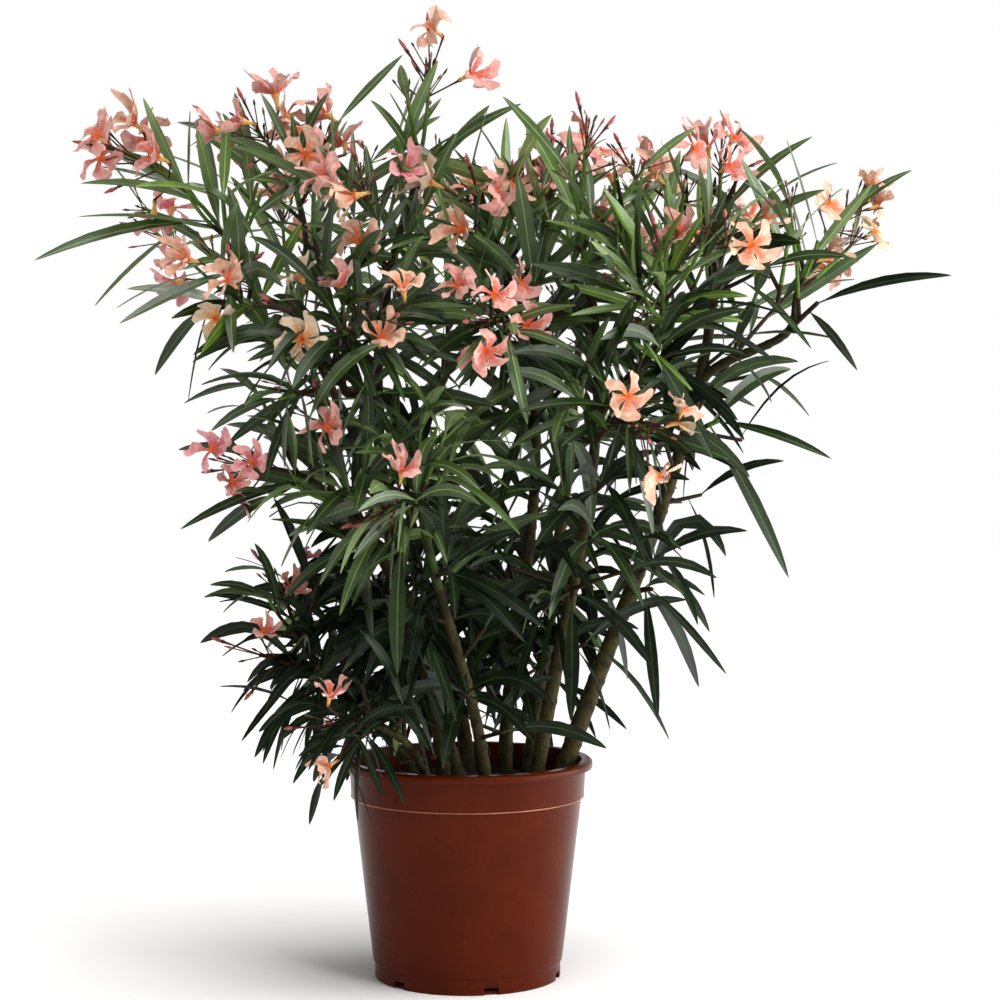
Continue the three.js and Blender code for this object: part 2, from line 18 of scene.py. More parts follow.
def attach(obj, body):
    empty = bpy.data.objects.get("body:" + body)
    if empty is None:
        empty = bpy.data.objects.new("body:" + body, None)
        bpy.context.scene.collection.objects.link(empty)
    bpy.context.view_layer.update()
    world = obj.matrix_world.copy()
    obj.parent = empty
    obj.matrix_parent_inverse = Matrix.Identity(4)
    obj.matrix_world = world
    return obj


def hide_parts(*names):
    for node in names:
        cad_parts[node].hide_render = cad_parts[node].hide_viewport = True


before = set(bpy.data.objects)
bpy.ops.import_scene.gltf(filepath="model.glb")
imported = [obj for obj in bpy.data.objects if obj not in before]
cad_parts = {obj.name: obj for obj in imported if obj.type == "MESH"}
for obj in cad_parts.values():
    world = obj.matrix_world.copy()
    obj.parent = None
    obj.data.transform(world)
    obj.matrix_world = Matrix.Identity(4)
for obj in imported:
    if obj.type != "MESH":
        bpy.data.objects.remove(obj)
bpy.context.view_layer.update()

MM = 0.001
UP = Vector((0, 0, 1))
GOLDEN = math.pi * (3 - math.sqrt(5))
print("nodes in the frame:", len(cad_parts))

# %% [markdown]
# ## The measures of the plant
# All measures are millimetres, in the frame's own axes: +Z up, and the front of the plant faces -Y.
# A cane is a smooth curve from the soil to its tip. A bough forks off a cane. A mass of foliage has
# one leading shoot that grows on from a cane or bough. Its few numbers say where that shoot ends,
# how many side shoots leave it, how long they and their leaves are, how far the leaves hang, and how
# many blooms and buds it ends in. The last two are the petals' colour, and how fully the shoots are
# clothed with leaves: a plant is open at its edges and dense low down inside. In the frame the name
# of a mass starts with foliage_, which these tables leave out.

# %% Sizes of pot, leaf, bloom and twig
POT = {
    "height": 218, "base_radius": 93, "foot_height": 16, "foot_step": 2, "band_height": 28.5,
    "band_step": 2.5, "band_radius": 116.5, "rim_radius": 125, "rim_height": 9, "wall": 2.4,
    "floor": 3, "slots": 6, "slot_width": 14, "slot_height": 7,
}
SOIL_TOP = 196
CLEARANCE = 0.3
LEAF = {"width_to_length": 0.122, "in_whorl": 3, "whorl_gap": 25}
BLOOM = {"diameter": 50, "tube": 15, "petals": 5, "stalk": 36, "front": 90, "shaded_below": 440}
BLOOM_SIZES = {"heights": [400, 650, 850], "shares": [0.72, 0.84, 1.05]}
BUD = {"length": 17, "radius": 2.3}
TWIG = {"foot": 3.2, "side": 2.5, "tip": 1.7}
REACH = {  # how far the crown reaches from the pot's axis, height by height
    "heights": [160, 300, 430, 560, 680, 800, 900, 965],
    "left": [240, 275, 300, 320, 455, 445, 290, 120],
    "right": [225, 270, 340, 390, 492, 470, 310, 100],
    "depth": [215, 240, 275, 315, 335, 325, 260, 100],
}
CROWN_LINE = {  # the height of its top, from left to right
    "across": [-430, -405, -366, -326, -290, -245, -160, -78, -64, -4, 20, 60, 120, 172, 261, 340, 381,
               426, 470],
    "top": [725, 850, 858, 892, 880, 900, 892, 882, 967, 967, 892, 860, 862, 845, 855, 850, 830, 805,
            725],
}

# %% Canes and boughs
CANES = {  # foot, two points that bend the curve, tip, and the radii of foot and tip
    "cane_front": [(19, -45, SOIL_TOP), (10, -60, 300), (-30, -92, 380), (-42, -105, 468), 6.1, 4.2],
    "cane_middle": [(68, -6, SOIL_TOP), (96, -20, 380), (150, -40, 540), (118, -75, 690), 7.5, 4],
    "cane_right": [(93, 8, SOIL_TOP), (150, 30, 360), (240, 35, 540), (250, 40, 700), 9.5, 4.5],
    "cane_left": [(-10, 15, SOIL_TOP), (-75, 25, 380), (-125, 45, 580), (-62, 15, 760), 9, 4],
    "cane_back": [(38, 55, SOIL_TOP), (35, 75, 340), (105, 45, 520), (42, -15, 690), 7.5, 4],
    "cane_mid_left": [(-22, -25, SOIL_TOP), (-35, -40, 330), (-70, -60, 430), (-135, -90, 490), 7, 4.5],
    "cane_low_left": [(-50, 0, SOIL_TOP), (-80, -5, 250), (-120, -15, 280), (-150, -30, 320), 5.5, 3.8],
    "cane_low_front": [
        (-35, -65, SOIL_TOP), (-45, -80, 235), (-60, -100, 255), (-82, -118, 264), 4.5, 3.6,
    ],
    "cane_back_left": [(0, 70, SOIL_TOP), (-20, 110, 380), (-120, 190, 520), (-180, 230, 650), 8, 4],
    "cane_back_right": [(62, 64, SOIL_TOP), (90, 115, 380), (110, 190, 540), (120, 230, 660), 8, 4],
}
BOUGHS = {  # cane, the share of it where the fork is, tip, and the radii of root and tip
    "bough_far_left": ["cane_left", 0.72, (-225, -20, 685), 5, 3.6],
    "bough_upper_left": ["cane_left", 0.8, (-165, 65, 730), 4.6, 3.6],
    "bough_inner_left": ["cane_left", 0.66, (-118, -105, 600), 4.6, 3.6],
    "bough_mid_right": ["cane_middle", 0.7, (190, -70, 650), 4.6, 3.6],
    "bough_right": ["cane_right", 0.78, (325, 5, 660), 5.2, 3.8],
    "bough_back_middle": ["cane_back_left", 0.6, (-25, 265, 620), 4.6, 3.6],
    "bough_back_far_right": ["cane_back_right", 0.62, (255, 215, 640), 4.8, 3.6],
}

# %% Masses of foliage
MASSES = {
    # limb and share along it, tip, side shoots, their length, the leaves' length, droop, blooms,
    # buds, the petals' colour, fullness
    "far_left": ["bough_far_left", 1, (-335, -50, 818), 3, 95, 138, 0.1, 7, 2, "salmon", 0.42],
    "upper_left": ["bough_upper_left", 1, (-206, -10, 840), 2, 95, 122, 0.05, 5, 2, "salmon", 0.55],
    "top": ["cane_left", 1, (-37, 0, 904), 3, 100, 122, 0, 2, 5, "salmon", 0.4],
    "far_right": ["bough_right", 1, (385, 20, 765), 3, 95, 138, 0.05, 4, 2, "peach", 0.2],
    "far_right_low": ["bough_right", 0.82, (360, -70, 688), 2, 70, 138, 0.3, 0, 0, "peach", 0.06],
    "front_low_left": ["cane_low_front", 1, (-118, -138, 270), 2, 65, 92, 0.9, 2, 1, "salmon", 1.3],
    "left_side": ["cane_mid_left", 1, (-212, -115, 512), 3, 85, 125, 0.35, 4, 2, "rose", 0.36],
    "front": ["cane_front", 1, (-76, -150, 470), 3, 75, 118, 0.5, 1, 1, "salmon", 0.9],
    "middle_front": ["cane_back", 0.86, (22, -150, 650), 2, 75, 108, 0.4, 6, 1, "salmon", 1.6],
    "right_front": ["cane_middle", 0.66, (170, -176, 548), 2, 80, 112, 0.4, 4, 1, "peach", 1.1],
    "inner_left": ["bough_inner_left", 1, (-70, -168, 648), 2, 80, 112, 0.4, 3, 1, "peach", 1.2],
    "inner_far_left": ["bough_inner_left", 0.7, (-160, -140, 655), 2, 80, 118, 0.6, 2, 1, "cream", 1.1],
    "left_front": ["bough_far_left", 0.75, (-222, -130, 694), 3, 85, 120, 0.5, 3, 2, "peach", 0.42],
    "upper_left_front": ["cane_left", 0.86, (-98, -88, 778), 2, 90, 122, 0.1, 4, 1, "salmon", 0.65],
    "upper_left_back": [
        "bough_upper_left", 0.65, (-150, 95, 842), 2, 90, 120, 0.1, 5, 1, "salmon", 0.42,
    ],
    "middle_left": ["cane_back", 1, (12, -75, 768), 2, 85, 115, 0.1, 5, 1, "peach", 0.85],
    "middle": ["cane_back", 0.8, (82, -30, 806), 2, 90, 118, 0.1, 6, 1, "salmon", 0.65],
    "spike": ["cane_middle", 1, (116, -95, 826), 3, 95, 118, 0.05, 0, 4, "salmon", 0.45],
    "upper_right_back": [
        "bough_back_far_right", 0.5, (165, 70, 815), 2, 85, 118, 0.1, 4, 1, "peach", 0.42,
    ],
    "right_middle": ["bough_mid_right", 1, (200, -15, 785), 2, 85, 120, 0.1, 4, 2, "salmon", 0.7],
    "green_front": ["bough_mid_right", 0.75, (180, -150, 716), 3, 75, 112, 0.08, 0, 1, "peach", 0.9],
    "upper_right": ["cane_right", 1, (256, 50, 824), 3, 100, 125, 0.05, 3, 2, "salmon", 0.36],
    "right_flowers": ["cane_right", 0.88, (245, -125, 728), 2, 85, 118, 0.3, 3, 1, "salmon", 0.22],
    "right": ["bough_right", 0.55, (300, -20, 786), 3, 95, 140, 0.05, 0, 0, "peach", 0.15],
    "right_under": ["cane_right", 0.66, (285, -50, 560), 3, 85, 135, 0.8, 0, 0, "peach", 0.05],
    "left_above": ["cane_mid_left", 0.72, (-140, -140, 572), 2, 80, 118, 0.4, 1, 1, "salmon", 0.8],
    "low_left": ["cane_low_left", 1, (-182, -30, 392), 3, 75, 108, 0.4, 2, 1, "salmon", 0.5],
    "low_far_left": ["cane_low_left", 0.75, (-202, -62, 328), 2, 65, 102, 0.7, 1, 2, "salmon", 0.8],
    "low_back_left": ["cane_low_left", 0.5, (-140, 85, 345), 3, 85, 118, 0.8, 0, 0, "rose", 0.7],
    "middle_low": ["cane_middle", 0.36, (100, -95, 375), 3, 85, 122, 0.9, 0, 0, "rose", 0.35],
    "right_low": ["cane_right", 0.36, (200, -15, 385), 3, 75, 128, 0.9, 0, 0, "rose", 0.1],
    "left_low": ["cane_left", 0.24, (-75, -80, 350), 3, 85, 118, 0.9, 0, 0, "rose", 1.8],
    "back_low": ["cane_back", 0.36, (35, 155, 365), 3, 85, 120, 0.9, 0, 0, "rose", 1.8],
    "back_left": ["cane_back_left", 1, (-205, 245, 780), 3, 100, 125, 0.1, 3, 2, "salmon", 0.5],
    "back_middle": ["bough_back_middle", 1, (-30, 265, 775), 3, 100, 122, 0.1, 3, 2, "peach", 0.7],
    "back_right": ["cane_back_right", 1, (120, 225, 810), 3, 100, 125, 0.05, 3, 2, "rose", 0.5],
    "back_far_right": [
        "bough_back_far_right", 1, (285, 215, 765), 3, 95, 125, 0.1, 3, 1, "salmon", 0.14,
    ],
    "right_back": ["cane_right", 0.7, (385, 120, 735), 3, 105, 130, 0.15, 2, 1, "peach", 0.12],
    "back_far_left": ["cane_back_left", 0.72, (-325, 110, 750), 3, 105, 130, 0.15, 3, 1, "rose", 0.28],
    "back_under_left": ["cane_back_left", 0.46, (-150, 245, 545), 3, 85, 120, 0.7, 0, 0, "rose", 0.45],
    "back_under_right": ["cane_back_right", 0.46, (195, 225, 535), 3, 85, 120, 0.7, 0, 0, "rose", 0.14],
}
LONG_LEAVES = {  # the share of the leading shoot where each stands, and its tip
    "far_left": [(0.45, (-420, -70, 713)), (0.12, (-325, -90, 640))],
    "upper_left": [(0.55, (-148, -20, 888))],
    "top": [(0.35, (-90, -60, 872)), (0.3, (52, -40, 870))],
    "spike": [(0.35, (54, -110, 850))],
    "upper_right": [(0.5, (337, 10, 848))],
    "far_right": [(0.62, (428, -20, 816))],
    "far_right_low": [(0.55, (464, -95, 694)), (0.4, (357, -140, 600))],
    "right_under": [(0.5, (347, -80, 512)), (0.4, (310, -60, 400))],
    "right_low": [(0.6, (247, -40, 300)), (0.45, (182, -60, 262))],
    "left_side": [(0.2, (-275, -105, 455))],
    "low_left": [(0.6, (-250, -50, 395))],
    "low_far_left": [(0.5, (-218, -50, 238))],
    "front_low_left": [(0.3, (-134, -128, 204))],
}
print("canes, boughs, masses:", len(CANES), len(BOUGHS), len(MASSES))

# %% [markdown]
# ## Finishes
# A material is a small graph of nodes that feeds one Principled shader. Colours are given as the hex
# values that a colour picker shows, so one function turns them into the linear values that a
# renderer computes with. One more function adds a node, and everything else is spelled out.

# %% Helpers for materials
def hex_colour(code):
    """An sRGB hex value such as 6b2e20 as a linear colour with alpha."""
    parts = [int(code[i : i + 2], 16) / 255 for i in (0, 2, 4)]
    return (*[c / 12.92 if c <= 0.04045 else ((c + 0.055) / 1.055) ** 2.4 for c in parts], 1)


def add_node(tree, kind, links=(), **settings):
    """Adds a node. A setting whose name is a socket sets it; links are (socket, output) pairs."""
    node = tree.nodes.new(kind)
    for name, value in settings.items():
        socket = node.inputs.get(name.replace("_", " "))
        if socket is not None:
            socket.default_value = value
        else:
            setattr(node, name, value)
    for name, output in links:
        tree.links.new(output, node.inputs[name])
    return node


def start_material(name, colour, roughness, **more):
    """A material with one Principled shader. Returns it, its tree and the shader."""
    material = bpy.data.materials.new(name)
    material.use_nodes = True
    shader = material.node_tree.nodes["Principled BSDF"]
    values = {"Base_Color": hex_colour(colour), "Roughness": roughness, "IOR": 1.5, **more}
    for socket, value in values.items():
        shader.inputs[socket.replace("_", " ")].default_value = value
    return material, material.node_tree, shader


def grain(tree, scale, kind="ShaderNodeTexNoise", **settings):
    """A texture that stays with the object, as its scale in patches to the metre."""
    place = add_node(tree, "ShaderNodeTexCoord")
    return add_node(tree, kind, [("Vector", place.outputs["Object"])], Scale=scale, **settings)


def vary_colour(tree, shader, texture, colours, span=(0.3, 0.7)):
    """Deals two or more colours out by a texture's value."""
    ramp = add_node(tree, "ShaderNodeValToRGB", [("Fac", texture.outputs[0])])
    stops = ramp.color_ramp.elements
    while len(stops) < len(colours):
        stops.new(0.5)
    for i, code in enumerate(colours):
        stops[i].position = span[0] + (span[1] - span[0]) * i / (len(colours) - 1)
        stops[i].color = hex_colour(code)
    tree.links.new(ramp.outputs["Color"], shader.inputs["Base Color"])


def add_bump(tree, shader, texture, depth_mm):
    """Raises the surface by a texture, up to a real depth."""
    bump = add_node(
        tree, "ShaderNodeBump", [("Height", texture.outputs[0])], Strength=1.0, Distance=depth_mm * MM
    )
    tree.links.new(bump.outputs["Normal"], shader.inputs["Normal"])


# %% [markdown]
# ## Leaf finishes
# An oleander leaf is thick and leathery. Its upper side has a waxy skin, which gives a broad soft
# shine, and its underside is paler and duller. The midrib is a pale line. Each leaf is a mesh with
# faces of its own for the blade, the midrib and the underside, so each finish is a plain colour with
# a little mottling, and no painted map is needed.

# %% Leaf materials
# The classes run from dark to light. The darker ones are the deeper green of older leaves with painted
# shade on top, for shoots low down and inside the crown. The lighter ones carry painted light, for
# shoots high up, and the last is the bright green of fresh growth.
LEAF_COLOURS = {  # upper side, midrib, underside
    "old_in_shade": (("0c140a", "162210"), ("28351f", "344429"), ("131c12", "1c271a")),
    "mature_half_shade": (("16230b", "223410"), ("43562e", "51683a"), ("2c3a20", "3a4c2c")),
    "grown_in_light": (("2d4216", "405824"), ("74894e", "869c5c"), ("506439", "657948")),
    "young": (("436016", "5c7b26"), ("8ca258", "a1b66a"), ("687f46", "7d8f56")),
}
LEAF_GLOSS = {"old_in_shade": 0.12, "mature_half_shade": 0.36, "grown_in_light": 0.95, "young": 0.9}


def leaf_skin(name, colours, roughness, gloss):
    material, tree, shader = start_material(
        name, colours[0], roughness, IOR=1.45, Specular_IOR_Level=gloss
    )
    vary_colour(tree, shader, grain(tree, scale=45, Detail=2.0), colours)
    add_bump(tree, shader, grain(tree, scale=600, Detail=1.0), depth_mm=0.12)
    return material


leaf_finish = {}
for age, (blade, rib, under) in LEAF_COLOURS.items():
    leaf_finish[age] = [
        leaf_skin(f"waxy_leaf_{age}", blade, 0.34, LEAF_GLOSS[age]),
        leaf_skin(f"leaf_midrib_{age}", rib, 0.5, LEAF_GLOSS[age]),
        leaf_skin(f"leaf_underside_{age}", under, 0.65, LEAF_GLOSS[age] / 2),
    ]
print("leaf materials:", sum(len(finishes) for finishes in leaf_finish.values()))

# %% [markdown]
# ## Petal finishes
# Petals are thin, soft and matt, with a sheen like fine cloth where they turn away from the eye.
# They are palest at the edge and deepen to orange at the throat. So a petal has four zones, from the
# margin through blade and blush to the heart, and each zone is streaked with its neighbour's colour,
# which hides the seam between them. Blooms pale as they age, so a plant carries rose, salmon, peach
# and cream ones at once.

# %% Petal materials
PETAL_ZONES = ("margin", "blade", "blush", "heart")
PETAL_COLOURS = {  # margin, blade, blush and heart of a petal
    "rose": ("dea6a2", "cb7c80", "bf5d66", "c44a3c"),
    "salmon": ("dcb0a4", "cf8478", "c8685c", "d25c34"),
    "peach": ("ddb9a2", "d2987c", "ce7e60", "dc6e34"),
    "cream": ("cfc0a6", "caa987", "cc9a6a", "da8436"),
}


def petal_skin(name, colour, other):
    """A petal's matt skin, streaked between its own colour and another one."""
    material, tree, shader = start_material(
        name, colour, 0.6, IOR=1.4, Sheen_Weight=0.2, Sheen_Roughness=0.5
    )
    streaks = grain(tree, scale=170, Detail=3.0)
    vary_colour(tree, shader, streaks, (colour, other), span=(0.35, 0.68))
    add_bump(tree, shader, grain(tree, scale=350, Detail=2.0), depth_mm=0.3)
    return material


petal_finish = {}
for name, zones in PETAL_COLOURS.items():
    petal_finish[name] = [
        petal_skin(f"petal_{name}_{zone}", colour, other)
        for zone, colour, other in zip(PETAL_ZONES, zones, [zones[1], zones[0], *zones[1:3]])
    ]
throat_finish = [
    petal_skin("throat_orange", "f58a2a", "ee6420"),
    petal_skin("tube_yellow", "dfae5c", "c98a4a"),
]
bud_finish = [
    petal_skin("bud_rose", "b0524e", "8e3a3a"),
    petal_skin("sepal_brown", "2e2016", "41301f"),
]
print("petal colours:", ", ".join(petal_finish))

# %% [markdown]
# ## Bark, twig, soil and pot finishes
# Oleander canes are smooth and olive-grey with paler pores, and rings where leaves have dropped.
# Young twigs are green, and the stalks that carry blooms are reddish brown. Potting mix is dark and
# crumbly. The pot is injection-moulded polypropylene: satin, a little waxy, and slightly uneven in
# gloss where the mould was.

# %% Stem, soil and pot materials
def bark_skin(name, colours, pore_mm):
    material, tree, shader = start_material(name, colours[0], 0.7, Specular_IOR_Level=0.12)
    vary_colour(tree, shader, grain(tree, scale=70, Detail=5.0), colours)
    pores = grain(tree, scale=1 / (pore_mm * MM), kind="ShaderNodeTexVoronoi")
    add_bump(tree, shader, pores, depth_mm=0.35)
    return material


def soil_skin():
    material, tree, shader = start_material("potting_mix", "1d140d", 0.95)
    crumbs = grain(tree, scale=180, Detail=6.0)
    vary_colour(tree, shader, crumbs, ("0f0a07", "2a1d13", "3b2a1b"))
    add_bump(tree, shader, crumbs, depth_mm=2)
    return material


def pot_skin():
    material, tree, shader = start_material(
        "moulded_polypropylene", "471402", 0.3, IOR=1.49, Specular_IOR_Level=0.07
    )
    cloud = grain(tree, scale=24, Detail=6.0)
    vary_colour(tree, shader, cloud, ("3f1102", "4e1703"), span=(0.2, 0.8))
    gloss = add_node(
        tree, "ShaderNodeMapRange", [("Value", cloud.outputs[0])], To_Min=0.24, To_Max=0.3
    )
    tree.links.new(gloss.outputs["Result"], shader.inputs["Roughness"])
    add_bump(tree, shader, grain(tree, scale=900, Detail=2.0), depth_mm=0.04)
    return material


def ridge_highlight_skin():
    """The edge of the band, painted pale as a highlight along the rounded step."""
    material, tree, shader = start_material("pot_ridge_painted_highlight", "a8664f", 0.3, IOR=1.49)
    vary_colour(tree, shader, grain(tree, scale=14, Detail=3.0), ("7a3a28", "bd7c64"))
    return material


bark_finish = [
    bark_skin("oleander_bark", ("1d1b0a", "3b351a", "100f07"), pore_mm=3.5),
    bark_skin("young_bark", ("21230d", "2a200e"), pore_mm=3),
    bark_skin("green_bark", ("3c5424", "2c3a17", "25240e"), pore_mm=3),
]
twig_finish = [
    bark_skin("green_twig", ("3f5a22", "56722f"), pore_mm=4),
    bark_skin("red_stalk", ("3e2219", "553024"), pore_mm=4),
    bark_skin("brown_twig", ("211a0f", "302615"), pore_mm=4),
]
soil_finish, pot_finish, ridge_highlight_finish = soil_skin(), pot_skin(), ridge_highlight_skin()

# %% [markdown]
# ## Gathering many small shapes into one mesh
# Thousands of leaves as separate objects would be slow to handle, so every kind of thing is gathered
# in a pile of points and faces and made into one mesh at the end. A pile knows two shapes: a sheet
# made from rows of points, and a tube round a line of points. Each face carries a number that says
# which of the piece's materials it has.

# %% Piles of points and faces
class Pile:
    def __init__(self):
        self.points, self.faces, self.marks = [], [], []

    def sheet(self, rows, marks, closed=False):
        """Joins rows of points by faces. marks gives a material for each column."""
        starts = []
        for row in rows:
            starts.append(len(self.points))
            self.points.extend(row)
        for (a, row), b, after in zip(zip(starts, rows), starts[1:], rows[1:]):
            columns = max(len(row), len(after)) - (0 if closed else 1)
            for i in range(columns):
                j = (i + 1) % max(len(row), len(after))
                corners = [a + i, a + j] if len(row) > 1 else [a]
                corners += [b + j, b + i] if len(after) > 1 else [b]
                self.faces.append(corners)
                self.marks.append(marks[i % len(marks)])

    def tube(self, line, radii, sides, mark):
        """A round tube through points, closed to a point at its end."""
        rows = []
        reference = least_along(line[-1] - line[0])
        for i, (centre, radius) in enumerate(zip(line, radii)):
            ahead = line[min(i + 1, len(line) - 1)] - line[max(i - 1, 0)]
            ring = spokes(ahead.normalized(), turns(sides), reference)
            rows.append([centre + spoke * radius for spoke in ring])
        rows.append([line[-1] + (line[-1] - line[-2]).normalized() * radii[-1] * 0.5])
        self.sheet(rows, [mark], closed=True)

    def mesh(self, name, materials=(), smooth=True):
        mesh = bpy.data.meshes.new(name)
        mesh.from_pydata([p * MM for p in self.points], [], self.faces)
        for material in materials:
            mesh.materials.append(material)
        mesh.polygons.foreach_set("material_index", self.marks)
        mesh.polygons.foreach_set("use_smooth", [smooth] * len(self.faces))
        mesh.validate()
        mesh.update()
        return mesh

    def piece(self, name, materials, slot, nodes, smooth=True):
        """Makes the pile one object that rides on the plant and stands for these nodes."""
        obj = add_object(name, self.mesh(name, materials, smooth))
        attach(obj, "root")
        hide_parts(*nodes)
        print(f"{name}: {sum(len(face) - 2 for face in self.faces)} triangles")
        return obj


def add_object(name, data):
    obj = bpy.data.objects.new(name, data)
    bpy.context.scene.collection.objects.link(obj)
    return obj


def turns(count):
    """Angles that share a full turn out equally."""
    return [math.tau * i / count for i in range(count)]


# %% [markdown]
# ## Directions and curves
# Two small tools carry the whole plant. One gives two directions square to a third, which is the
# frame that a ring of leaves or the sides of a tube are laid out in. The other walks a Bezier curve,
# the natural line for a stem: it leaves its root in one direction and bends smoothly to its tip.

# %% Directions
def mix(a, b, t):
    return a + (b - a) * t


def least_along(v):
    """The axis that a direction runs least along."""
    sizes = [abs(c) for c in v]
    return Vector([1 if i == sizes.index(min(sizes)) else 0 for i in range(3)])


def square_to(direction, reference=None):
    side = direction.cross(reference or least_along(direction)).normalized()
    return side, side.cross(direction).normalized()


def spokes(axis, angles, reference=None):
    """Directions square to an axis, at these angles round it."""
    side, lift = square_to(axis, reference)
    return [side * math.sin(angle) + lift * math.cos(angle) for angle in angles]


def around(turn, reach, z):
    """The point so far from the pot's axis, at a turn round it."""
    return Vector((reach * math.cos(turn), reach * math.sin(turn), z))


def leaving(axis, opening, turn):
    """A direction that leaves an axis at an angle, turned round it."""
    side, lift = square_to(axis)
    out = side * math.cos(turn) + lift * math.sin(turn)
    return axis * math.cos(opening) + out * math.sin(opening)


# %% Curves
def steps(count, end=1):
    """Shares from nought to an end, both included."""
    return [end * i / count for i in range(count + 1)]


class Curve:
    def __init__(self, *controls):
        self.controls = [Vector(p) for p in controls]

    def point(self, t):
        layer = self.controls
        while len(layer) > 1:
            layer = [a.lerp(b, t) for a, b in zip(layer, layer[1:])]
        return layer[0]

    def points(self, shares):
        return [self.point(t) for t in shares]

    def tangent(self, t):
        near, far = max(t - 1e-4, 0), min(t + 1e-4, 1)
        return (self.point(far) - self.point(near)).normalized()

    def length(self):
        line = self.points(steps(40))
        return sum((b - a).length for a, b in zip(line, line[1:]))


def seeded(seed):
    """The same draws each run, each between two bounds, from a linear congruential generator."""
    state = seed

    def draw(low=0, high=1):
        nonlocal state
        state = (state * 1664525 + 1013904223) % 2**32
        return mix(low, high, state / 2**32)

    for _ in range(4):
        draw()
    return draw


# %% [markdown]
# ## Canes and boughs
# A cane is a tapering tube with bark. The relief is in the mesh itself: a slight swelling at each
# ring where leaves once stood, and a fine unevenness from noise. The foot is cut flat on the soil,
# and the bark of a bough starts inside its cane, so no gap shows at the fork. A cane has old bark
# below and young bark above, a bough is young all along, and the front cane is still green on top.

# %% Limbs as curves
BEND = {"along_cane": 0.25, "to_tip": 0.2, "upright": 0.3}  # of a bough, as shares of its length
limbs = {}
for name, (*path, foot_radius, tip_radius) in CANES.items():
    limbs[name] = {"curve": Curve(*path), "radii": (foot_radius, tip_radius), "on": None}
for name, (cane, share, tip, root_radius, tip_radius) in BOUGHS.items():
    root, heading = limbs[cane]["curve"].point(share), limbs[cane]["curve"].tangent(share)
    length = (Vector(tip) - root).length
    low = (root + heading * length * BEND["along_cane"]).lerp(Vector(tip), BEND["to_tip"])
    high = Vector(tip) - UP * length * BEND["upright"]
    limbs[name] = {"curve": Curve(root, low, high, tip), "radii": (root_radius, tip_radius), "on": cane}


# %% Limbs as bark
BARK_STEP, LIMB_SIDES = 3, 14
RING_GAP = 22  # between leaf scars along a limb
SCAR_RISE, SCAR_SPREAD = 0.9, 0.004
BARK_NOISE = {"scale": 0.25, "depth": 0.5}
BOUGH_ROOT = 0.55  # a bough's bark starts this share of the cane's radius from its axis
YOUNG_FROM, GREEN_FROM = 0.6, {"cane_front": 0.7}  # shares of a limb's length


def bark_radius(name, length, t):
    """A limb's radius with its leaf scars."""
    radius = mix(*limbs[name]["radii"], t)
    phase = (t * length / RING_GAP + len(name) * 0.37) % 1
    scar = SCAR_RISE * math.exp(-((phase - 0.5) ** 2) / SCAR_SPREAD)
    return radius + scar * min(1, radius / 6)


def grow_limb(pile, name):
    curve, cane = limbs[name]["curve"], limbs[name]["on"]
    length = curve.length()
    count = max(8, round(length / BARK_STEP))
    first = round(limbs[cane]["radii"][0] * BOUGH_ROOT / length * count) if cane else 0
    reference = least_along(curve.point(1) - curve.point(0))
    rows = []
    for i in range(first, count + 1):
        centre, radius = curve.point(i / count), bark_radius(name, length, i / count)
        ring = []
        for out in spokes(curve.tangent(i / count), turns(LIMB_SIDES), reference):
            p = centre + out * radius
            p += out * noise(p * BARK_NOISE["scale"]) * BARK_NOISE["depth"]
            if not cane and i == 0:
                p.z = SOIL_TOP
            ring.append(p)
        rows.append(ring)
    rows.append([curve.point(1) + curve.tangent(1) * 1.5])
    young, green = round(len(rows) * YOUNG_FROM), round(len(rows) * GREEN_FROM.get(name, 1))
    for part, mark in (
        (rows[: young + 1], 1 if cane else 0), (rows[young : green + 1], 1), (rows[green:], 2)
    ):
        pile.sheet(part, [mark], closed=True)


for slot, members in {"cane": CANES, "bough": BOUGHS}.items():
    bark = Pile()
    for name in members:
        grow_limb(bark, name)
    bark.piece(f"{slot}s_bark", bark_finish, slot, members)

# %% [markdown]
# ## How a mass of foliage grows
# A mass is one leading shoot with side shoots, and shorter, steeper shoots between them. Leaves stand
# in whorls of three, each whorl turned by half a step from the one below, so no leaf shades the next.
# The oldest leaves spread and arch over, and the youngest close up round the tip. Where a shoot
# flowers, its upper part is bare and ends in a cluster, with smaller blooms in the shade below.
# The canes carry a few short leafy spurs where they would be bare. Random draws come from a seed per
# shoot, so the plant is the same at every run.

# %% Whorls and clusters
def along(knots, values, x):
    """The value at x of a line through knots."""
    for a, b, low, high in zip(knots, knots[1:], values, values[1:]):
        if x <= b:
            return mix(low, high, max(0, (x - a) / (b - a)))
    return values[-1]


def inside_plant(p, share=1.0, under=0.0):
    """Is a point within a share of the plant's reach at its height, and so far under its crown?"""
    wide = along(REACH["heights"], REACH["left" if p.x < 0 else "right"], p.z) * share
    deep = along(REACH["heights"], REACH["depth"], p.z) * share
    top = along(CROWN_LINE["across"], CROWN_LINE["top"], p.x) - under
    return REACH["heights"][0] < p.z < top and (p.x / wide) ** 2 + (p.y / deep) ** 2 < 1


OPENING = {"tip": 15, "foot": 38, "droop": 42, "spread": (-9, 9)}  # degrees from a shoot
SAG = {"least": 0.18, "droop": 1.15}


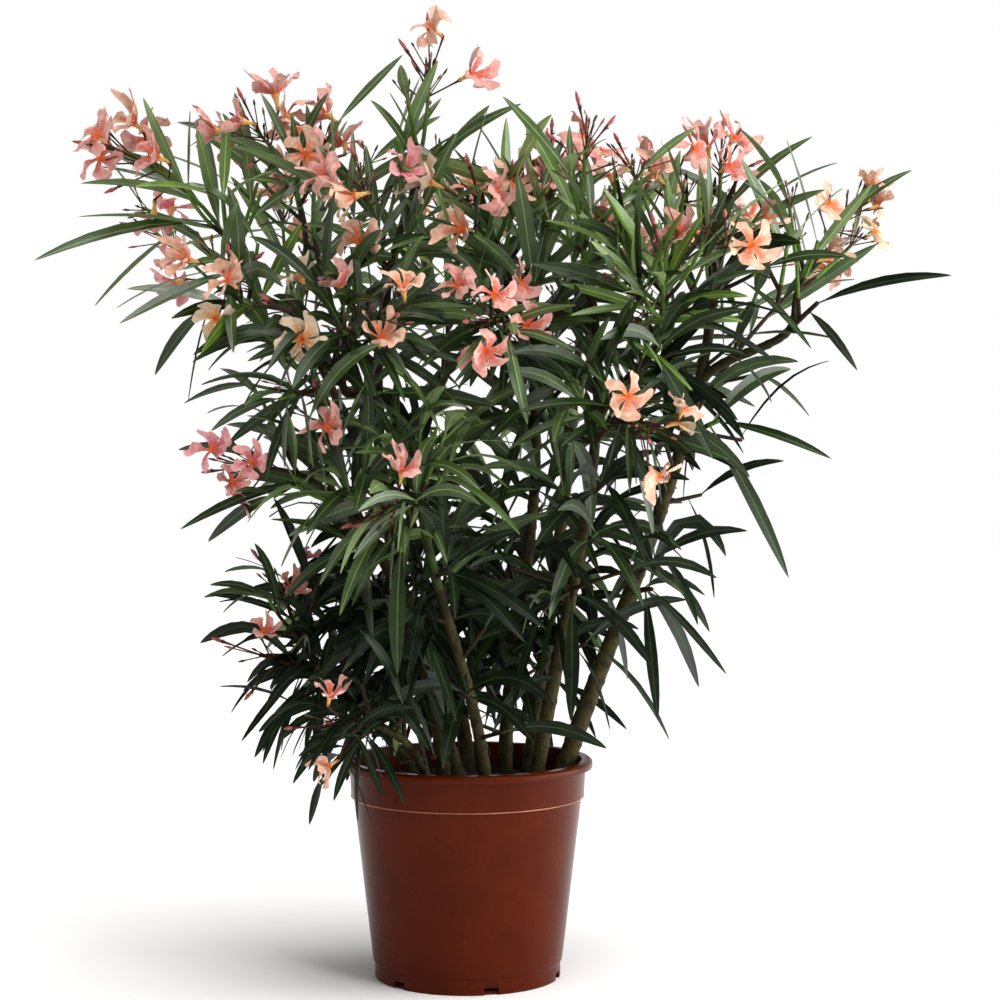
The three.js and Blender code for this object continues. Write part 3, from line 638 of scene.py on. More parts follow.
def whorls(shoot, first, last, leaf_length, droop, draw, fullness):
    """Leaves in rings of three. Of all the places, a share given by fullness bears a leaf."""
    curve = shoot["curve"]
    count = max(2, round(curve.length() * (last - first) / LEAF["whorl_gap"]))
    leaves = []
    for j in range(count):
        age = 1 - j / count
        widest = mix(OPENING["tip"], OPENING["foot"], age) + OPENING["droop"] * droop * age
        for i in range(LEAF["in_whorl"]):
            share = mix(first, last, (j + 0.3 + 0.6 * draw()) / count)
            axis = curve.tangent(share)
            turn = (i + (j % 2) * 0.5) * math.tau / LEAF["in_whorl"] + draw(-0.35, 0.35)
            opening = math.radians(widest + draw(*OPENING["spread"]))
            size = leaf_length * draw(0.75, 1.12) * min(1, 0.7 + age)
            sag = (SAG["least"] + SAG["droop"] * droop) * draw(0.5, 1.3)
            if draw() < fullness:
                leaves.append(
                    {"root": curve.point(share), "share": share, "axis": axis, "size": size,
                     "sag": sag, "heading": leaving(axis, opening, turn)}
                )
    return leaves


def cluster(shoot, blooms, buds, draw):
    """Blooms and buds round the end of a shoot, the oldest lowest and opened widest."""
    total = blooms + buds
    flowers = []
    for k in range(total):
        share = mix(1, 0.72, (k + 0.3) / total)
        root = shoot["curve"].point(share)
        opening = math.radians(mix(12, 85, (k + 0.5) / total))
        turn = k * GOLDEN + draw(-0.3, 0.3)
        heading = leaving(shoot["curve"].tangent(share), opening, turn)
        facing = heading * 0.9 + Vector((root.x, root.y, 0)).normalized() * 0.6
        if root.y < BLOOM["front"]:
            facing.y -= 0.55
        length = BLOOM["stalk"] * draw(0.8, 1.25)
        size = draw(0.88, 1.12) * along(BLOOM_SIZES["heights"], BLOOM_SIZES["shares"], root.z)
        flowers.append(
            {"root": root, "heading": heading, "facing": facing.normalized(), "length": length,
             "size": size, "bud": (k * buds) % total < buds}
        )
    return flowers


# %% Shoots
def make_shoot(start, heading, tip, foot, end):
    middle = start + heading * (tip - start).length * 0.45
    return {"curve": Curve(start, middle, tip), "radii": (foot, end), "leaves": []}


def side_shoot(lead, share, turn, opening, reach, droop, lift=0.22):
    root = lead["curve"].point(share)
    away = leaving(lead["curve"].tangent(share), opening, turn)
    end = root + away * reach + UP * reach * mix(lift, -0.1, droop)
    return make_shoot(root, away, end, TWIG["side"], TWIG["tip"])


LONG_SAG = 0.38


def long_leaves(name, lead):
    leaves = []
    for share, tip in LONG_LEAVES.get(name, []):
        root = lead["curve"].point(share)
        span = Vector(tip) - root
        heading = (span + UP * span.length * 0.2).normalized()
        leaves.append(
            {"root": root, "share": share, "axis": Vector((0, -1, 0.8)), "heading": heading,
             "size": span.length, "sag": LONG_SAG, "narrow": 0.7}
        )
    return leaves


LEAFY_FROM = {"lead": 0.34, "side": 0.3, "spur": 0.35}  # shares of a shoot
LEAFY_TO, BARE_FROM = 0.97, 0.72  # without and with blooms


def grow_mass(name, seed):
    limb_name, share, tip, side_count, side_length, leaf_length, droop, *rest = MASSES[name]
    blooms, buds, colour, fullness = rest
    curve, tip = limbs[limb_name]["curve"], Vector(tip)
    start, heading = curve.point(share), curve.tangent(share)
    if share == 1:
        start = start + heading * CLEARANCE
    else:
        heading = heading.lerp((tip - start).normalized(), 0.6).normalized()
    lead = make_shoot(start, heading, tip, TWIG["foot"], TWIG["tip"])
    span = (LEAFY_FROM["lead"], BARE_FROM if blooms + buds else LEAFY_TO)
    lead["leaves"] = long_leaves(name, lead)
    lead["leaves"] += whorls(lead, *span, leaf_length, droop, seeded(seed * 10), fullness)
    draw = seeded(seed * 10 + 9)
    shoots = [lead]
    for k in range(side_count):
        turn = k / side_count * math.tau + seed * GOLDEN + draw(-0.3, 0.3)
        opening = math.radians(draw(36, 58) + 18 * droop)
        reach = side_length * draw(0.8, 1.2)
        branch = side_shoot(lead, mix(0.22, 0.5, k / side_count), turn, opening, reach, droop)
        clothe(branch, "side", leaf_length * 0.95, droop, seed * 10 + k + 1, fullness)
        shoots.append(branch)
    flowers = cluster(lead, blooms, buds, draw)
    shoots += finer_shoots(lead, seed, side_count, side_length, leaf_length, droop, fullness)
    return {"name": name, "shoots": shoots, "flowers": flowers, "colour": colour}


def clothe(shoot, kind, leaf_length, droop, seed, fullness):
    span = (LEAFY_FROM[kind], LEAFY_TO)
    shoot["leaves"] = whorls(shoot, *span, leaf_length, droop, seeded(seed), fullness)


def finer_shoots(lead, seed, side_count, side_length, leaf_length, droop, fullness):
    """Short shoots between the side shoots, by the same rule, that close the mass."""
    draw = seeded(seed * 10 + 5000)
    extra = []
    for k in range(round((side_count + 1) * fullness)):
        turn = (k + 0.5) / side_count * math.tau + seed * GOLDEN + draw(-0.5, 0.5)
        opening = math.radians(draw(30, 62) + 15 * droop)
        share = mix(0.12, 0.6, (k + draw()) / (side_count + 1))
        reach = side_length * draw(0.5, 0.9)
        branch = side_shoot(lead, share, turn, opening, reach, droop, lift=0.6)
        clothe(branch, "side", leaf_length * 0.85, droop, seed * 10 + 5001 + k, fullness)
        extra.append(branch)
    return extra


masses = [grow_mass(name, seed + 1) for seed, name in enumerate(MASSES)]

# %% Leafy spurs on the canes
SPURS = {  # how many, and from which share of the limb to which
    "cane_front": (8, 0.07, 0.8), "cane_middle": (13, 0.16, 0.97), "cane_right": (7, 0.3, 0.82),
    "cane_left": (12, 0.07, 0.92), "cane_back": (18, 0.07, 0.98), "cane_mid_left": (10, 0.07, 0.85),
    "cane_back_left": (6, 0.07, 0.7), "cane_back_right": (6, 0.12, 0.7),
    "cane_low_front": (4, 0.07, 0.9), "cane_low_left": (4, 0.07, 0.8),
    "bough_mid_right": (5, 0.12, 0.9), "bough_inner_left": (3, 0.12, 0.9),
    "bough_back_middle": (6, 0.15, 0.95), "bough_back_far_right": (5, 0.15, 0.7),
}
SPUR = {"reach": (30, 55), "opening": (48, 72), "leaf": 116, "fullness": 0.8, "droop": (0.9, 0.3)}


def spurs_on(cane, count, low, top, seed):
    """Short shoots along a cane, each turned by the golden angle, the lower ones drooping."""
    draw = seeded(seed * 10 + 9000)
    shoots = []
    for k in range(count):
        height = (k + draw()) / count
        share, droop = mix(low, top, height), mix(*SPUR["droop"], height)
        opening, reach = math.radians(draw(*SPUR["opening"])), draw(*SPUR["reach"])
        spur = side_shoot(limbs[cane], share, k * GOLDEN + seed, opening, reach, droop)
        clothe(spur, "spur", SPUR["leaf"], droop, seed * 10 + 9001 + k, SPUR["fullness"])
        shoots.append(spur)
    return shoots


spurs = [shoot for seed, (cane, row) in enumerate(SPURS.items())
         for shoot in spurs_on(cane, *row, seed)]
masses.append({"name": "spurs", "shoots": spurs, "flowers": []})
print("leaves:", sum(len(shoot["leaves"]) for mass in masses for shoot in mass["shoots"]))

# %% [markdown]
# ## One leaf
# The blade is long and narrow, widest just past the middle. It folds up a little along the midrib,
# which stiffens it as a crease stiffens paper, and arches under its own weight. We lay rows of
# points along the arch. The upper side has three columns, the two halves and the midrib between
# them. The underside has the same three, with a keel under the midrib, so the leaf is a thin closed
# body.

# %% Leaf shape
LEAF_OUTLINE = [  # how far along, and how wide there
    (0, 0.13), (0.07, 0.17), (0.2, 0.6), (0.36, 0.9), (0.52, 1), (0.68, 0.9), (0.82, 0.66),
    (0.92, 0.38), (0.975, 0.17), (1, 0),
]
RIB_HALF, BLADE_THICK = 0.5, 0.5
FOLD = (0.04, 0.3)  # how far the halves rise from the midrib


def add_leaf(pile, leaf, draw):
    size, heading, axis = leaf["size"], leaf["heading"], leaf["axis"]
    half = size * LEAF["width_to_length"] * leaf.get("narrow", 1) / 2 * draw(0.88, 1.12)
    fold, sideways = draw(*FOLD), draw(-0.22, 0.22)
    face = (axis - heading * axis.dot(heading)).normalized()
    across = face.cross(heading).normalized()
    centre, before, rows_above, rows_below = leaf["root"].copy(), 0, [], []
    for share, width in LEAF_OUTLINE:
        bend = max(0, share - 0.15) * 1.3
        ahead = (heading - UP * leaf["sag"] * bend + across * sideways * share).normalized()
        centre = centre + ahead * size * (share - before)
        before = share
        normal = (face - ahead * face.dot(ahead)).normalized()
        wing = normal.cross(ahead).normalized()
        if width == 0:
            rows_above.append([centre])
            rows_below.append([centre])
            break
        reach = half * width
        rib = min(RIB_HALF * (1.3 - share * 0.7), reach * 0.6)
        raised = centre + normal * reach * fold
        left, right = raised - wing * reach, raised + wing * reach
        rows_above.append([left, centre - wing * rib, centre + wing * rib, right])
        keel = centre - normal * BLADE_THICK
        rows_below.append([right, keel + wing * rib, keel - wing * rib, left])
    pile.sheet(rows_above, [0, 1, 0])
    pile.sheet(rows_below, [2, 1, 2])


# %% [markdown]
# ## Leaves on the masses
# The colour of a leaf goes with its shoot. Older leaves are a deeper green and a few fresh ones are
# bright, and painted light and shade come on top: shoots inside and low down are painted nearly
# black-green, and those high up lighter. So each shoot draws a class by its height, which stands for
# its age and its light at once, and all leaves of one class make one piece. A shoot that stands in
# the sun counts as higher than it is, and one in the shade as lower, so a sunlit shoot gets painted
# light and a shaded one painted shade. A leaf is shortened or left off where it would leave the
# crown, cut the rim of the pot or cover the leaning cane at the front, and a shoot ends just past its
# last leaf. An old shoot is woody all the way, and a young one is green almost from its root.

# %% Deal the leaves out
FRESH = {"green_front", "spike", "right_middle"}
# The two shifts below paint light into the leaves' colour: a mass in the sun gets painted light, and
# shoots under the crown's right-hand side get painted shade.
SUNLIT = {"front": 300, "left_above": 100, "left_side": 130}  # so much higher they count
SHADE = {"across": [150, 250], "under": 745, "drop": 190}  # under the crown's right-hand shoots
FRESH_SHARE, USUAL_SHARE = 0.4, 0.12  # of the shoots high up, in those masses and in others
LIGHT = {"from": 300, "range": 550}  # the heights over which shoots turn from dark to light
SHORTEST_LEAF = 0.62  # as a share of its full length
CANE_MARGIN = 13  # to either side of the front cane


def tip_of(leaf):
    return leaf["root"] + (leaf["heading"] - UP * leaf["sag"] * 0.6).normalized() * leaf["size"]


def clear_of_pot(leaf):
    """A leaf may hang outside the pot or into its mouth, but not through its rim."""
    outside, mouth = POT["rim_radius"] + 6, POT["band_radius"] - POT["wall"] - 10
    for p in (leaf["root"].lerp(tip_of(leaf), t) for t in steps(4)):
        out = math.hypot(p.x, p.y)
        if p.z < POT["height"] + 8 and not (out > outside or out < mouth and p.z > SOIL_TOP + 6):
            return False
    return True


def hides_front_cane(leaf):
    """The leaning cane at the front stands in the open. A leaf that hangs across it is left off."""
    curve = limbs["cane_front"]["curve"]
    for t in (0.35, 0.5, 0.65, 0.8, 0.95):
        p = leaf["root"].lerp(tip_of(leaf), t)
        share = (p.z - SOIL_TOP) / (curve.point(1).z - SOIL_TOP)
        beside = p - curve.point(share)
        if 0 < share < 0.85 and beside.y < 0 and abs(beside.x) < CANE_MARGIN:
            return True
    return False


def fit_leaf(leaf, draw):
    """Shortens a leaf to keep its tip within the crown. Says no where too little would be left."""
    share, under = 1 - 0.2 * draw() ** 1.5, draw(10, 60)
    full = leaf["size"]
    while not inside_plant(tip_of(leaf), share, under):
        leaf["size"] *= 0.92
        if leaf["size"] < full * SHORTEST_LEAF:
            return False
    return clear_of_pot(leaf) and not hides_front_cane(leaf)


def leaf_age_and_light(tip, lift, fresh, draw):
    """Fresh shoots come by chance, few low down. Otherwise the higher one ends, the younger it is and
    the less shade is painted on it.
    """
    height = tip.z + lift
    if height < SHADE["under"]:
        height -= along(SHADE["across"], [0, SHADE["drop"]], tip.x)
    if draw() < fresh * min(1, height / 700) ** 3:
        return "young"
    light = (height - LIGHT["from"]) / LIGHT["range"] + draw(-0.25, 0.25)
    return "old_in_shade" if light < 0.33 else "mature_half_shade" if light < 0.66 else "grown_in_light"


TWIG_STEPS, TWIG_SIDES = 9, 6
WOODY_STEPS = {"old_in_shade": 9, "mature_half_shade": 7, "grown_in_light": 3, "young": 1}
GREEN, RED, BROWN = range(3)  # places in twig_finish


def draw_twig(shoot, woody):
    """The shoot as a twig, brown for so many steps and green beyond."""
    shares = steps(TWIG_STEPS, shoot["end"])
    line, radii = shoot["curve"].points(shares), [mix(*shoot["radii"], t) for t in shares]
    twigs.tube(line[: woody + 1], radii[: woody + 1], TWIG_SIDES, BROWN)
    if woody < TWIG_STEPS:
        twigs.tube(line[woody:], radii[woody:], TWIG_SIDES, GREEN)


leaf_piles = {age: Pile() for age in LEAF_COLOURS}
twigs = Pile()
for seed, mass in enumerate(masses):
    draw = seeded(seed + 700)
    fresh = FRESH_SHARE if mass["name"] in FRESH else USUAL_SHARE
    for shoot in mass["shoots"]:
        age = leaf_age_and_light(shoot["curve"].point(1), SUNLIT.get(mass["name"], 0), fresh, draw)
        end = 1 if shoot is mass["shoots"][0] and mass["flowers"] else 0
        for leaf in shoot["leaves"]:
            if leaf["sag"] == LONG_SAG or fit_leaf(leaf, draw):
                add_leaf(leaf_piles[age], leaf, draw)
                end = max(end, min(1, leaf["share"] + 0.02))
        shoot["end"] = end
        if end > 0:
            draw_twig(shoot, WOODY_STEPS[age])

all_foliage = [f"foliage_{name}" for name in MASSES]
for age, pile in leaf_piles.items():
    pile.piece(f"leaves_{age}", leaf_finish[age], "foliage", all_foliage)
twigs.piece("twigs", twig_finish, "foliage", all_foliage)

# %% [markdown]
# ## One bloom
# A bloom is a funnel that opens into five broad petals. Each petal is a fan, cut off squarely at its
# end and set askew, so that the five turn like a pinwheel. Round the throat stands a fringe of small
# orange flaps. The stalk is thin and reddish, with five pointed sepals where the tube begins.

# %% Petals, throat and stalk
PETAL_ROWS = [  # how far out, and how broad there, as a half angle
    (0.14, 0.68), (0.28, 0.56), (0.46, 0.45), (0.68, 0.48), (0.87, 0.56), (0.98, 0.55), (1.03, 0.45),
]
PETAL_MARKS = [  # the zone of each column between two rows
    (3,), (2, 3, 3, 3, 3, 2), (1, 2, 2, 2, 2, 1), (1,), (0, 1, 1, 1, 1, 0), (0,),
]
PETAL_COLUMNS = (-1, -0.66, -0.33, 0, 0.33, 0.66, 1)


def neck_of(flower):
    return flower["root"] + flower["heading"] * flower["length"]


def polar(flower, centre, angle, reach, rise):
    return centre + spokes(flower["facing"], [angle])[0] * reach + flower["facing"] * rise


def add_petals(pile, flower, draw):
    """Five askew fans. A flower opens from a cup to a flat wheel, and no two petals curl alike."""
    radius = BLOOM["diameter"] / 2 * flower["size"]
    rim = neck_of(flower) + flower["facing"] * BLOOM["tube"] * flower["size"]
    shaded = flower["root"].z < BLOOM["shaded_below"]
    cup, start = mix(0.7 if shaded else 0.05, 0.85, draw() ** 1.2), draw() * math.tau
    for petal in range(BLOOM["petals"]):
        middle = start + petal * math.tau / BLOOM["petals"] + draw(-0.14, 0.14)
        curl, lean = draw(-0.25, 0.5), draw(0.02, 0.34)
        ruffle, wide = draw(0.05, 0.15), draw(0.88, 1.22)
        spread = radius * (1 - 0.25 * cup)
        rows = []
        for reach, breadth in PETAL_ROWS:
            row = []
            for u in PETAL_COLUMNS:
                angle = middle + 0.22 * reach + u * breadth * mix(1, wide, reach)
                oblique = 1 + 0.18 * u * reach**3 - 0.04 * reach**4 * u * u
                waves = ruffle * math.sin(5 * u + 2 * petal + 3 * reach) * reach
                rise = radius * (cup * reach**1.3 - curl * reach**5 + lean * u * reach + waves)
                row.append(polar(flower, rim, angle, spread * reach * oblique, rise))
            rows.append(row)
        for (inner, outer), marks in zip(zip(rows, rows[1:]), PETAL_MARKS):
            pile.sheet([inner, outer], marks)


TUBE_PROFILE = [(0, 1.5), (0.35, 1.8), (0.7, 2.6), (1, 4.2)]  # share of its depth, radius
THROAT_SIDES, FRINGE_FLAPS = 10, 15


def add_throat(pile, flower):
    size, neck = flower["size"], neck_of(flower)
    depth = BLOOM["tube"] * size
    ring = turns(THROAT_SIDES)
    tube = []
    for share, width in TUBE_PROFILE:
        tube.append([polar(flower, neck, turn, width * size, depth * share) for turn in ring])
    pile.sheet(tube, [1], closed=True)
    floor = polar(flower, neck, 0, 0, depth * 0.55)
    lip = [polar(flower, neck, turn, 3.7 * size, depth) for turn in ring]
    pile.sheet([[floor], lip], [0], closed=True)
    for i, turn in enumerate(turns(FRINGE_FLAPS)):
        foot = [polar(flower, neck, turn + side, 3.6 * size, depth - 1) for side in (-0.22, 0.22)]
        point = polar(flower, neck, turn, (3 + 2.2 * (i % 3)) * size, depth + (5 - i % 3) * size)
        pile.sheet([foot, [point]], [0])


STALK_RADII = [1.1, 0.9, 0.85, 0.95, 1.5]


def add_stalk(pile, flower):
    """The stalk, and five sepals that clasp the foot of the tube."""
    root, neck = flower["root"], neck_of(flower)
    curve = Curve(root, root + flower["heading"] * flower["length"] * 0.6, neck)
    pile.tube(curve.points(steps(4)), STALK_RADII, 5, RED)
    for turn in turns(BLOOM["petals"]):
        foot = [polar(flower, neck, turn + side, 1.7, -0.5) for side in (-0.5, 0.5)]
        pile.sheet([foot, [polar(flower, neck, turn, 3.0, 5.0)]], [RED])


BUD_PROFILE = [(0, 0.35), (0.2, 0.7), (0.5, 1), (0.8, 0.6)]  # share of its length, and of its radius
ROSY, DARK = range(2)  # places in bud_finish


def add_bud(pile, root, heading, length, radius, tip_mark=ROSY):
    """A slim bud that narrows to a twisted tip."""
    rows = []
    for share, width in BUD_PROFILE:
        centre, ring = root + heading * length * share, [turn + share * 2 for turn in turns(5)]
        rows.append([centre + out * radius * width for out in spokes(heading, ring)])
    rows.append([root + heading * length])
    pile.sheet(rows[:2], [DARK], closed=True)
    pile.sheet(rows[1:], [tip_mark], closed=True)


# %% [markdown]
# ## Blooms on the masses
# The blooms of one cluster open together, so most have the same colour and a few are a step paler or
# deeper. They turn outwards and every way besides. Round them stand unopened buds: a few rosy ones
# about to open, and a spray of small dark ones on hair-thin stalks, which make the top of the plant
# look feathery. Shoots high up that don't flower yet may carry such a spray too.

# %% Deal the blooms out
SMALL_BUDS = {"high": 12, "low": 4, "side": 6}  # in a spray
STALK_LENGTHS = {"lead": (14, 34), "side": (10, 26)}
SPRAYS_ABOVE, SPRAY_SHARE = 600, 0.45  # side shoots that end higher may carry a smaller spray


def turn_face(flower, draw):
    """Blooms look every way, also up and aside, and not all the same way out."""
    aside = Vector((draw(-1, 1), draw(-0.3, 0.7), draw(-0.3, 0.9)))
    flower["facing"] = (flower["facing"] + aside).normalized()


def shorten_stalk(flower):
    """Draws a bloom in until it is within the crown. Says no where it can't be."""
    for share in (1, 0.75, 0.5, 0.3):
        flower["length"] *= share
        far = neck_of(flower) + flower["facing"] * BLOOM["tube"]
        if inside_plant(far + UP * BLOOM["diameter"] * 0.2):
            return True
    return False


PALER_SHARE, DEEPER_SHARE = 0.22, 0.08  # of the blooms of a cluster
COLOURS_BY_AGE = list(PETAL_COLOURS)


def bloom_colour(cluster_colour, draw):
    """Most blooms have their cluster's colour. Some are a step paler, and a few a step deeper."""
    chance, step = draw(), COLOURS_BY_AGE.index(cluster_colour)
    step += 1 if chance < PALER_SHARE else -1 if chance > 1 - DEEPER_SHARE else 0
    return COLOURS_BY_AGE[max(0, min(step, len(COLOURS_BY_AGE) - 1))]


def add_spray(shoot, count, lengths, draw):
    """Small dark buds on thin stalks round the end of a shoot, a few of them rosy."""
    curve = shoot["curve"]
    for k in range(count):
        share = shoot["end"] * draw(0.8, 1)
        root = curve.point(share)
        heading = leaving(curve.tangent(share), math.radians(draw(8, 50)), k * GOLDEN)
        length = draw(*lengths)
        tip = root + heading * length
        if inside_plant(tip + heading * 8):
            stalks.tube([root, root.lerp(tip, 0.5), tip], [0.8, 0.6, 0.6], 4, RED)
            add_bud(buds, tip, heading, draw(6, 12), 1.4, tip_mark=DARK if k % 4 else ROSY)


petal_piles = {colour: Pile() for colour in PETAL_COLOURS}
throats, stalks, buds = Pile(), Pile(), Pile()
for seed, mass in enumerate(masses):
    draw = seeded(seed + 900)
    for flower in mass["flowers"]:
        turn_face(flower, draw)
        if flower["bud"]:
            length = BUD["length"] * flower["size"]
            add_bud(buds, neck_of(flower), flower["heading"], length, BUD["radius"])
        elif not shorten_stalk(flower):
            continue
        else:
            add_petals(petal_piles[bloom_colour(mass["colour"], draw)], flower, draw)
            add_throat(throats, flower)
        add_stalk(stalks, flower)
    if mass["flowers"]:
        lead = mass["shoots"][0]
        level = "high" if lead["curve"].point(1).z > BLOOM["shaded_below"] else "low"
        add_spray(lead, SMALL_BUDS[level], STALK_LENGTHS["lead"], draw)
    for shoot in mass["shoots"][1:]:
        if shoot["end"] and shoot["curve"].point(1).z > SPRAYS_ABOVE and draw() < SPRAY_SHARE:
            add_spray(shoot, SMALL_BUDS["side"], STALK_LENGTHS["side"], draw)

flowering = [f"foliage_{mass['name']}" for mass in masses if mass["flowers"]]
for colour, pile in petal_piles.items():
    pile.piece(f"petals_{colour}", petal_finish[colour], "foliage", flowering)
throats.piece("throats", throat_finish, "foliage", flowering)
stalks.piece("flower_stalks", twig_finish, "foliage", flowering)
buds.piece("buds", bud_finish, "foliage", flowering)

# %% [markdown]
# ## The pot
# A nursery pot is moulded in one shot: a thin wall that widens upwards, a wider band below the rim
# for stiffness and stacking, a rolled rim to grip, and a recessed foot with drainage notches. It is
# a turned form, so we draw half of its section and sweep it round the axis, with small rounds where
# the mould has them.

# %% Turned section of the pot
RIM_FOOT = POT["height"] - POT["rim_height"]
BAND_FOOT = RIM_FOOT - POT["band_height"]
RIDGE = 0.55  # radius of the thin ridge round the foot of the band


def pot_radius(z):
    return mix(POT["base_radius"], POT["band_radius"] - POT["band_step"], z / BAND_FOOT)


def rounded(profile, radius=1.0):
    """Replaces each corner of a section by a short arc."""
    points = [Vector((*p, 0)) for p in profile]
    line = [points[0]]
    for before, corner, after in zip(points, points[1:], points[2:]):
        cut = min(radius, (before - corner).length * 0.45, (after - corner).length * 0.45)
        a = corner + (before - corner).normalized() * cut
        b = corner + (after - corner).normalized() * cut
        line += Curve(a, corner, b).points(steps(3))
    return line + [points[-1]]


def turned(pile, line, segments=120):
    rows = []
    for p in line:
        if p.x < 0.01:
            rows.append([Vector((0, 0, p.y))])
        else:
            rows.append([around(turn, p.x, p.y) for turn in turns(segments)])
    pile.sheet(rows, [0], closed=True)


mouth = POT["band_radius"] - POT["wall"]
pot_section = [
    (0, 0), (POT["base_radius"], 0),
    (pot_radius(POT["foot_height"]) - POT["foot_step"], POT["foot_height"]),
    (pot_radius(POT["foot_height"]), POT["foot_height"] + 1),
    (pot_radius(BAND_FOOT), BAND_FOOT), (POT["band_radius"], BAND_FOOT + 1.5),
    (POT["band_radius"] + 1.5, RIM_FOOT), (POT["rim_radius"], RIM_FOOT + 1),
    (POT["rim_radius"], POT["height"] - 2), (POT["rim_radius"] - 2.5, POT["height"]),
    (mouth, POT["height"]), (mouth - POT["band_step"], BAND_FOOT),
    (POT["base_radius"] - POT["wall"], POT["floor"]), (0, POT["floor"]),
]
pot_pile, ridge_pile = Pile(), Pile()
turned(pot_pile, rounded(pot_section))
pot = pot_pile.piece("nursery_pot", [pot_finish], "pot", ["pot"])
# A thin bead round the foot of the band, in the pale finish that paints a highlight on the step.
ridge = []
for turn in turns(6):
    across, up = RIDGE * math.sin(turn), RIDGE * math.cos(turn)
    ridge.append(Vector((POT["band_radius"] + across, BAND_FOOT + 0.8 + up, 0)))
turned(ridge_pile, [*ridge, ridge[0]])
ridge_pile.piece("pot_ridge", [ridge_highlight_finish], "pot", ["pot"])

# %% [markdown]
# ## Drainage notches
# Water leaves through slots where the wall meets the base. A Boolean modifier cuts them: a box for
# each slot is subtracted from the pot, and the result is written back to the mesh.

# %% Cut the notches
CUT = {"inside": 3.5, "outside": 8, "below": 5}  # how far a cutter reaches past the wall and the base
cutters = Pile()
for i in range(POT["slots"]):
    turn = (i + 0.25) * math.tau / POT["slots"] - math.pi / 2
    out = around(turn, 1, 0)
    wide = UP.cross(out) * POT["slot_width"] / 2
    near, far = out * (POT["base_radius"] - CUT["inside"]), out * (POT["base_radius"] + CUT["outside"])
    low, high = -UP * CUT["below"], UP * POT["slot_height"]
    ring = [near + wide, near - wide, far - wide, far + wide]
    base, lid, middle = [p + low for p in ring], [p + high for p in ring], near.lerp(far, 0.5)
    cutters.sheet([[middle + low], base, lid, [middle + high]], [0], closed=True)
cutter = add_object("slot_cutters", cutters.mesh("slot_cutters", smooth=False))
modifier = pot.modifiers.new("slots", "BOOLEAN")
modifier.object, modifier.operation, modifier.solver = cutter, "DIFFERENCE", "EXACT"
bpy.context.view_layer.update()
notched = bpy.data.meshes.new_from_object(pot.evaluated_get(bpy.context.evaluated_depsgraph_get()))
pot.modifiers.clear()
pot.data = notched
bpy.data.objects.remove(cutter)
print("pot faces after cutting:", len(notched.polygons))

# %% [markdown]
# ## The soil
# Potting mix is a rough dark surface of crumbs and bits of bark. The mesh has the large lumps, from
# noise at two sizes, and loose crumbs lie on it. The bump of the finish does the rest.

# %% Soil surface and crumbs
SOIL = {"radius": 109, "rings": 30, "sides": 96, "crumbs": 320, "skirt": 12}
LUMPS = [(0.05, 2), (0.25, 1.2)]  # scale and height of the noise
EDGE_DROP = 3
soil = Pile()
soil_rows = [[Vector((0, 0, SOIL_TOP - 1))]]
for share in steps(SOIL["rings"])[1:]:
    ring = []
    for turn in turns(SOIL["sides"]):
        p = around(turn, SOIL["radius"] * share, 0)
        lump = sum(noise(p * scale) * height for scale, height in LUMPS)
        p.z = SOIL_TOP - 1 + lump - EDGE_DROP * share**8
        ring.append(p)
    soil_rows.append(ring)
soil_rows.append([Vector((p.x, p.y, SOIL_TOP - SOIL["skirt"])) for p in soil_rows[-1]])
soil.sheet(soil_rows, [0], closed=True)
draw = seeded(41)
for _ in range(SOIL["crumbs"]):
    turn, size = draw() * math.tau, draw(1.2, 3.2)
    reach = SOIL["radius"] * 0.96 * math.sqrt(draw())
    centre = around(turn, reach, SOIL_TOP + draw(-0.5, 0.8))
    belt = [centre + around(side, 1, draw(-0.3, 0.3)) * size for side in (0, 1.3, 2.5, 3.8, 5.1)]
    soil.sheet([[centre + UP * size * 0.6], belt, [centre - UP * size * 0.6]], [0], closed=True)
soil.piece("soil_surface", [soil_finish], "soil", ["soil"], smooth=False)

# %% [markdown]
# ## Floor, light and camera
# The plant stands on a plain pale floor. The walls all round are white up to head height and the
# ceiling is dim, so shadows among the leaves stay deep. A very wide sun stands for an overcast sky,
# a soft key comes from the upper right, and a large low panel at the right draws the long highlight
# down the pot. The camera stands 2.4 m away with a long lens, just above the plant's middle, tilted
# down by a couple of degrees.

# %% Floor and room
WALL_LIGHT, CEILING_LIGHT = 1.0, 0.22
BRIGHT_UP_TO = (0.2, 0.4)  # sines of the angles above the horizon where the wall ends
FLOOR_HALF = 6  # metres


def plaster_skin():
    material, tree, shader = start_material("painted_plaster_floor", "faf9f7", 0.8)
    vary_colour(tree, shader, grain(tree, scale=2, Detail=3.0), ("f8f7f5", "fcfbf9"))
    return material


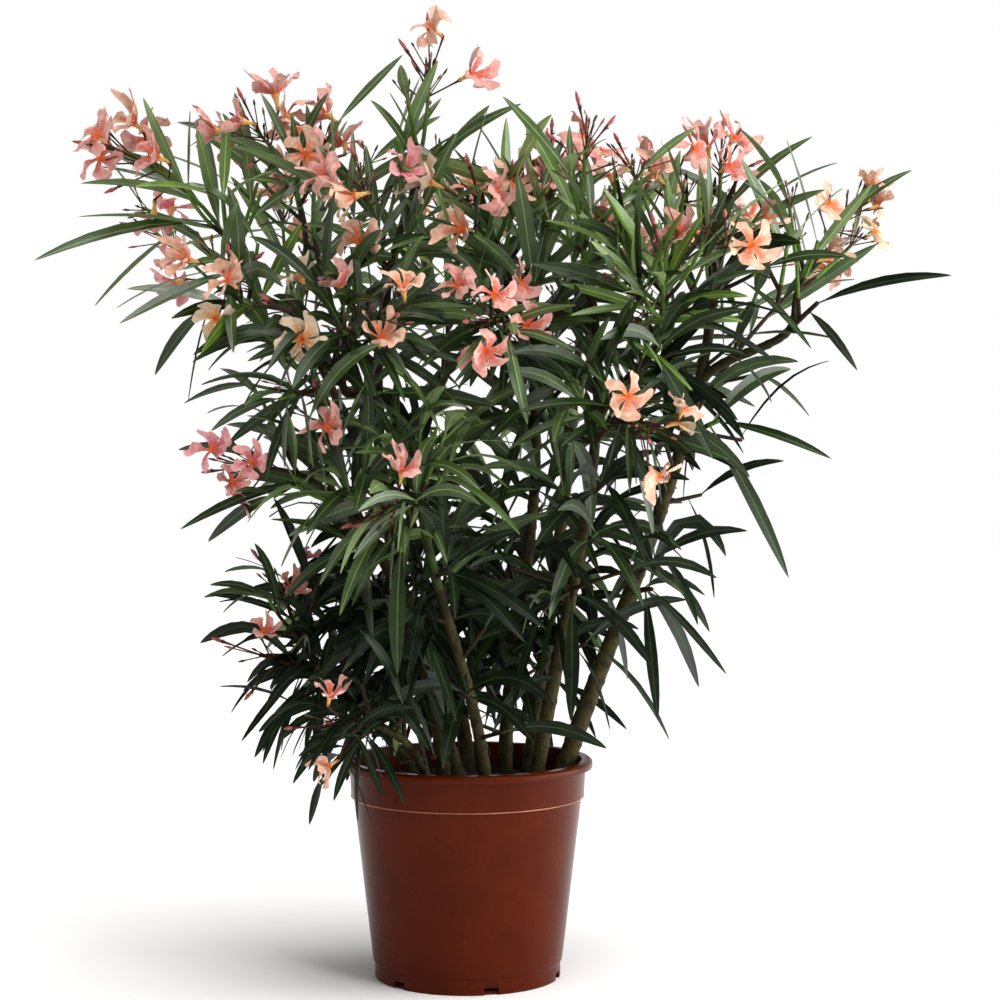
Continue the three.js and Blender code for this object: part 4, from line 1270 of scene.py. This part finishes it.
corners = [(x * FLOOR_HALF, y * FLOOR_HALF, 0) for x, y in ((-1, -1), (1, -1), (1, 1), (-1, 1))]
floor_mesh = bpy.data.meshes.new("floor")
floor_mesh.from_pydata(corners, [], [(0, 1, 2, 3)])
floor_mesh.materials.append(plaster_skin())
floor = add_object("floor", floor_mesh)

room = bpy.data.worlds.new("pale_room")
room.use_nodes = True
sky = room.node_tree
place = add_node(sky, "ShaderNodeTexCoord")
apart = add_node(sky, "ShaderNodeSeparateXYZ", [("Vector", place.outputs["Generated"])])
glow = add_node(
    sky, "ShaderNodeMapRange", [("Value", apart.outputs["Z"])],
    From_Min=BRIGHT_UP_TO[0], From_Max=BRIGHT_UP_TO[1], To_Min=WALL_LIGHT, To_Max=CEILING_LIGHT,
)
sky.links.new(glow.outputs["Result"], sky.nodes["Background"].inputs["Strength"])
sky.nodes["Background"].inputs["Color"].default_value = hex_colour("ffffff")
bpy.context.scene.world = room
bpy.context.scene.view_settings.view_transform = "Standard"


# %% Lights
def aimed(name, data, place, target):
    lamp = add_object(name, data)
    lamp.location = place
    lamp.rotation_euler = (Vector(target) - Vector(place)).to_track_quat("-Z", "Y").to_euler()


def softbox(name, place, size, power, target):
    data = bpy.data.lights.new(name, "AREA")
    data.shape, data.size, data.size_y, data.energy = "RECTANGLE", *size, power
    aimed(name, data, place, target)


overcast = bpy.data.lights.new("overcast", "SUN")
overcast.energy, overcast.angle = 2.7, math.radians(50)
aimed("overcast", overcast, (0.3, -0.3, 3), target=(0, 0, 0.5))
softbox("key", (1.5, -1.9, 2.0), (0.8, 0.8), 28, target=(0, 0, 0.6))
softbox("side_panel", (1.6, -0.15, 0.35), (2.0, 1.1), 40, target=(0, 0, 0.2))

# %% Camera
SENSOR = 36
FOCAL_PX = 2443.3  # for an image 1000 pixels wide
CAMERA_AT = (0.0324, -2.4337, 0.5763)
LOOKS_DOWN = 2.35  # degrees
camera_data = bpy.data.cameras.new("camera")
camera_data.sensor_width = SENSOR
camera_data.lens = FOCAL_PX / 1000 * SENSOR
camera = add_object("camera", camera_data)
camera.location = CAMERA_AT
camera.rotation_euler = (math.radians(90 - LOOKS_DOWN), 0, 0)
bpy.context.scene.camera = camera
